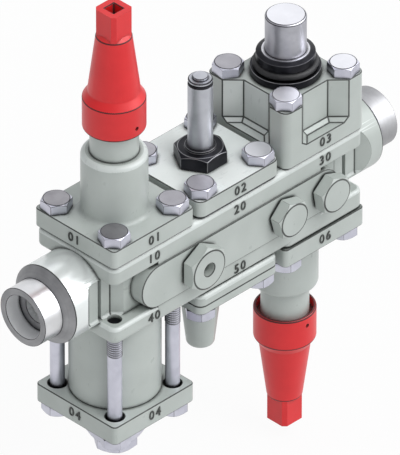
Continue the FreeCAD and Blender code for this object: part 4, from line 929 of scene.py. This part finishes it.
threads = bmesh.new()
for along, across in ((-1, -1), (-1, 1), (1, -1), (1, 1)):
    start = Vector((AXIS_ONE + along * BOLT_HALF, across * BOLT_HALF, THREAD_START))
    corners = [threads.verts.new(start + Vector((reach, 0, height))) for reach, height in TOOTH]
    tooth = threads.faces.new(corners)
    bmesh.ops.spin(
        threads, geom=tooth.verts[:] + tooth.edges[:] + [tooth], cent=start, axis=(0, 0, 1),
        dvec=(0, 0, -THREAD_PITCH / STEPS), angle=2 * math.pi * THREAD_TURNS, steps=STEPS * THREAD_TURNS,
        use_merge=False,
    )
bmesh.ops.recalc_face_normals(threads, faces=threads.faces)
open_edges = [edge for edge in threads.edges if len(edge.link_faces) != 2]
print("thread faces:", len(threads.faces), "open edges:", len(open_edges))
bolt_body = nodes["strainer_bolts"]["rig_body"]
thread_piece = finish_piece(threads, "strainer_bolt_threads", bolt_body, [thread_steel])

# %% [markdown]
# ## Raised numbers
# Castings carry raised marks on their flanges and decks. Here each is a plain dark number that
# counts the modules and the deck's places. A text object makes the shape of the digits. It becomes
# a mesh before it is set on its face, because only a mesh keeps its place inside itself.

# %% The shape of the digits
DIGIT_HEIGHT = 7 * MM
DIGIT_PROUD = 0.6 * MM
DIGIT_EASE = 0.12 * MM
FONT_SIZE = 1.4 * DIGIT_HEIGHT
FONT_SPACING = 1.25


def digits(text):
    """A bmesh of raised digits, flat on the ground and centred."""
    curve = bpy.data.curves.new("digits", "FONT")
    curve.body = text
    curve.size = FONT_SIZE
    curve.space_character = FONT_SPACING
    curve.align_x = "CENTER"
    curve.align_y = "CENTER"
    curve.resolution_u = 4
    curve.extrude = DIGIT_PROUD
    writing = bpy.data.objects.new("writing", curve)
    bpy.context.scene.collection.objects.link(writing)
    shapes = bpy.context.evaluated_depsgraph_get()
    data = bpy.data.meshes.new_from_object(writing.evaluated_get(shapes))
    work = bmesh.new()
    work.from_mesh(data)
    bmesh.ops.remove_doubles(work, verts=work.verts, dist=MERGE)
    bpy.data.objects.remove(writing)
    return work


# %% Where each number goes
PLATE = HALF + 0.5 * MM
UPPER_PLATE = COVER_MIDDLE
LOWER_PLATE = -COVER_MIDDLE
BOTTOM_PLATE = -102.5 * MM
UPPER_DECK = 24.3 * MM
LOWER_DECK = -23.8 * MM
MARKS = [
    ("01", "front", AXIS_ONE, UPPER_PLATE, PLATE),
    ("01", "left", 0, UPPER_PLATE, PLATE),
    ("02", "front", AXIS_TWO, UPPER_PLATE, PLATE),
    ("03", "front", AXIS_THREE, UPPER_PLATE, PLATE),
    ("04", "front", AXIS_ONE, BOTTOM_PLATE, PLATE),
    ("04", "left", 0, BOTTOM_PLATE, PLATE),
    ("06", "front", AXIS_THREE, LOWER_PLATE, PLATE),
    ("10", "front", AXIS_ONE, UPPER_DECK, HALF),
    ("20", "front", AXIS_TWO, UPPER_DECK, HALF),
    ("30", "front", AXIS_THREE, UPPER_DECK, HALF),
    ("40", "front", AXIS_ONE, LOWER_DECK, HALF),
    ("50", "front", AXIS_TWO, LOWER_DECK, HALF),
]

# %% Set the numbers on their faces
TO_FRONT = Matrix.Rotation(math.radians(90), 4, "X")
TO_LEFT = Matrix.Rotation(math.radians(-90), 4, "Z") @ TO_FRONT

marks = bmesh.new()
for words, side, along, height, out in MARKS:
    work = digits(words)
    if side == "front":
        place = Matrix.Translation((along, -out, height)) @ TO_FRONT
    else:
        place = Matrix.Translation((AXIS_ONE - out, along, height)) @ TO_LEFT
    bmesh.ops.transform(work, matrix=place, verts=work.verts)
    one = bpy.data.meshes.new("one mark")
    work.to_mesh(one)
    work.free()
    marks.from_mesh(one)
ease(marks, DIGIT_EASE, segments=1)
mark_piece = finish_piece(marks, "raised_numbers", nodes["housing"]["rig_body"], [grey_edge, grey_edge])
print("raised numbers:", len(MARKS))
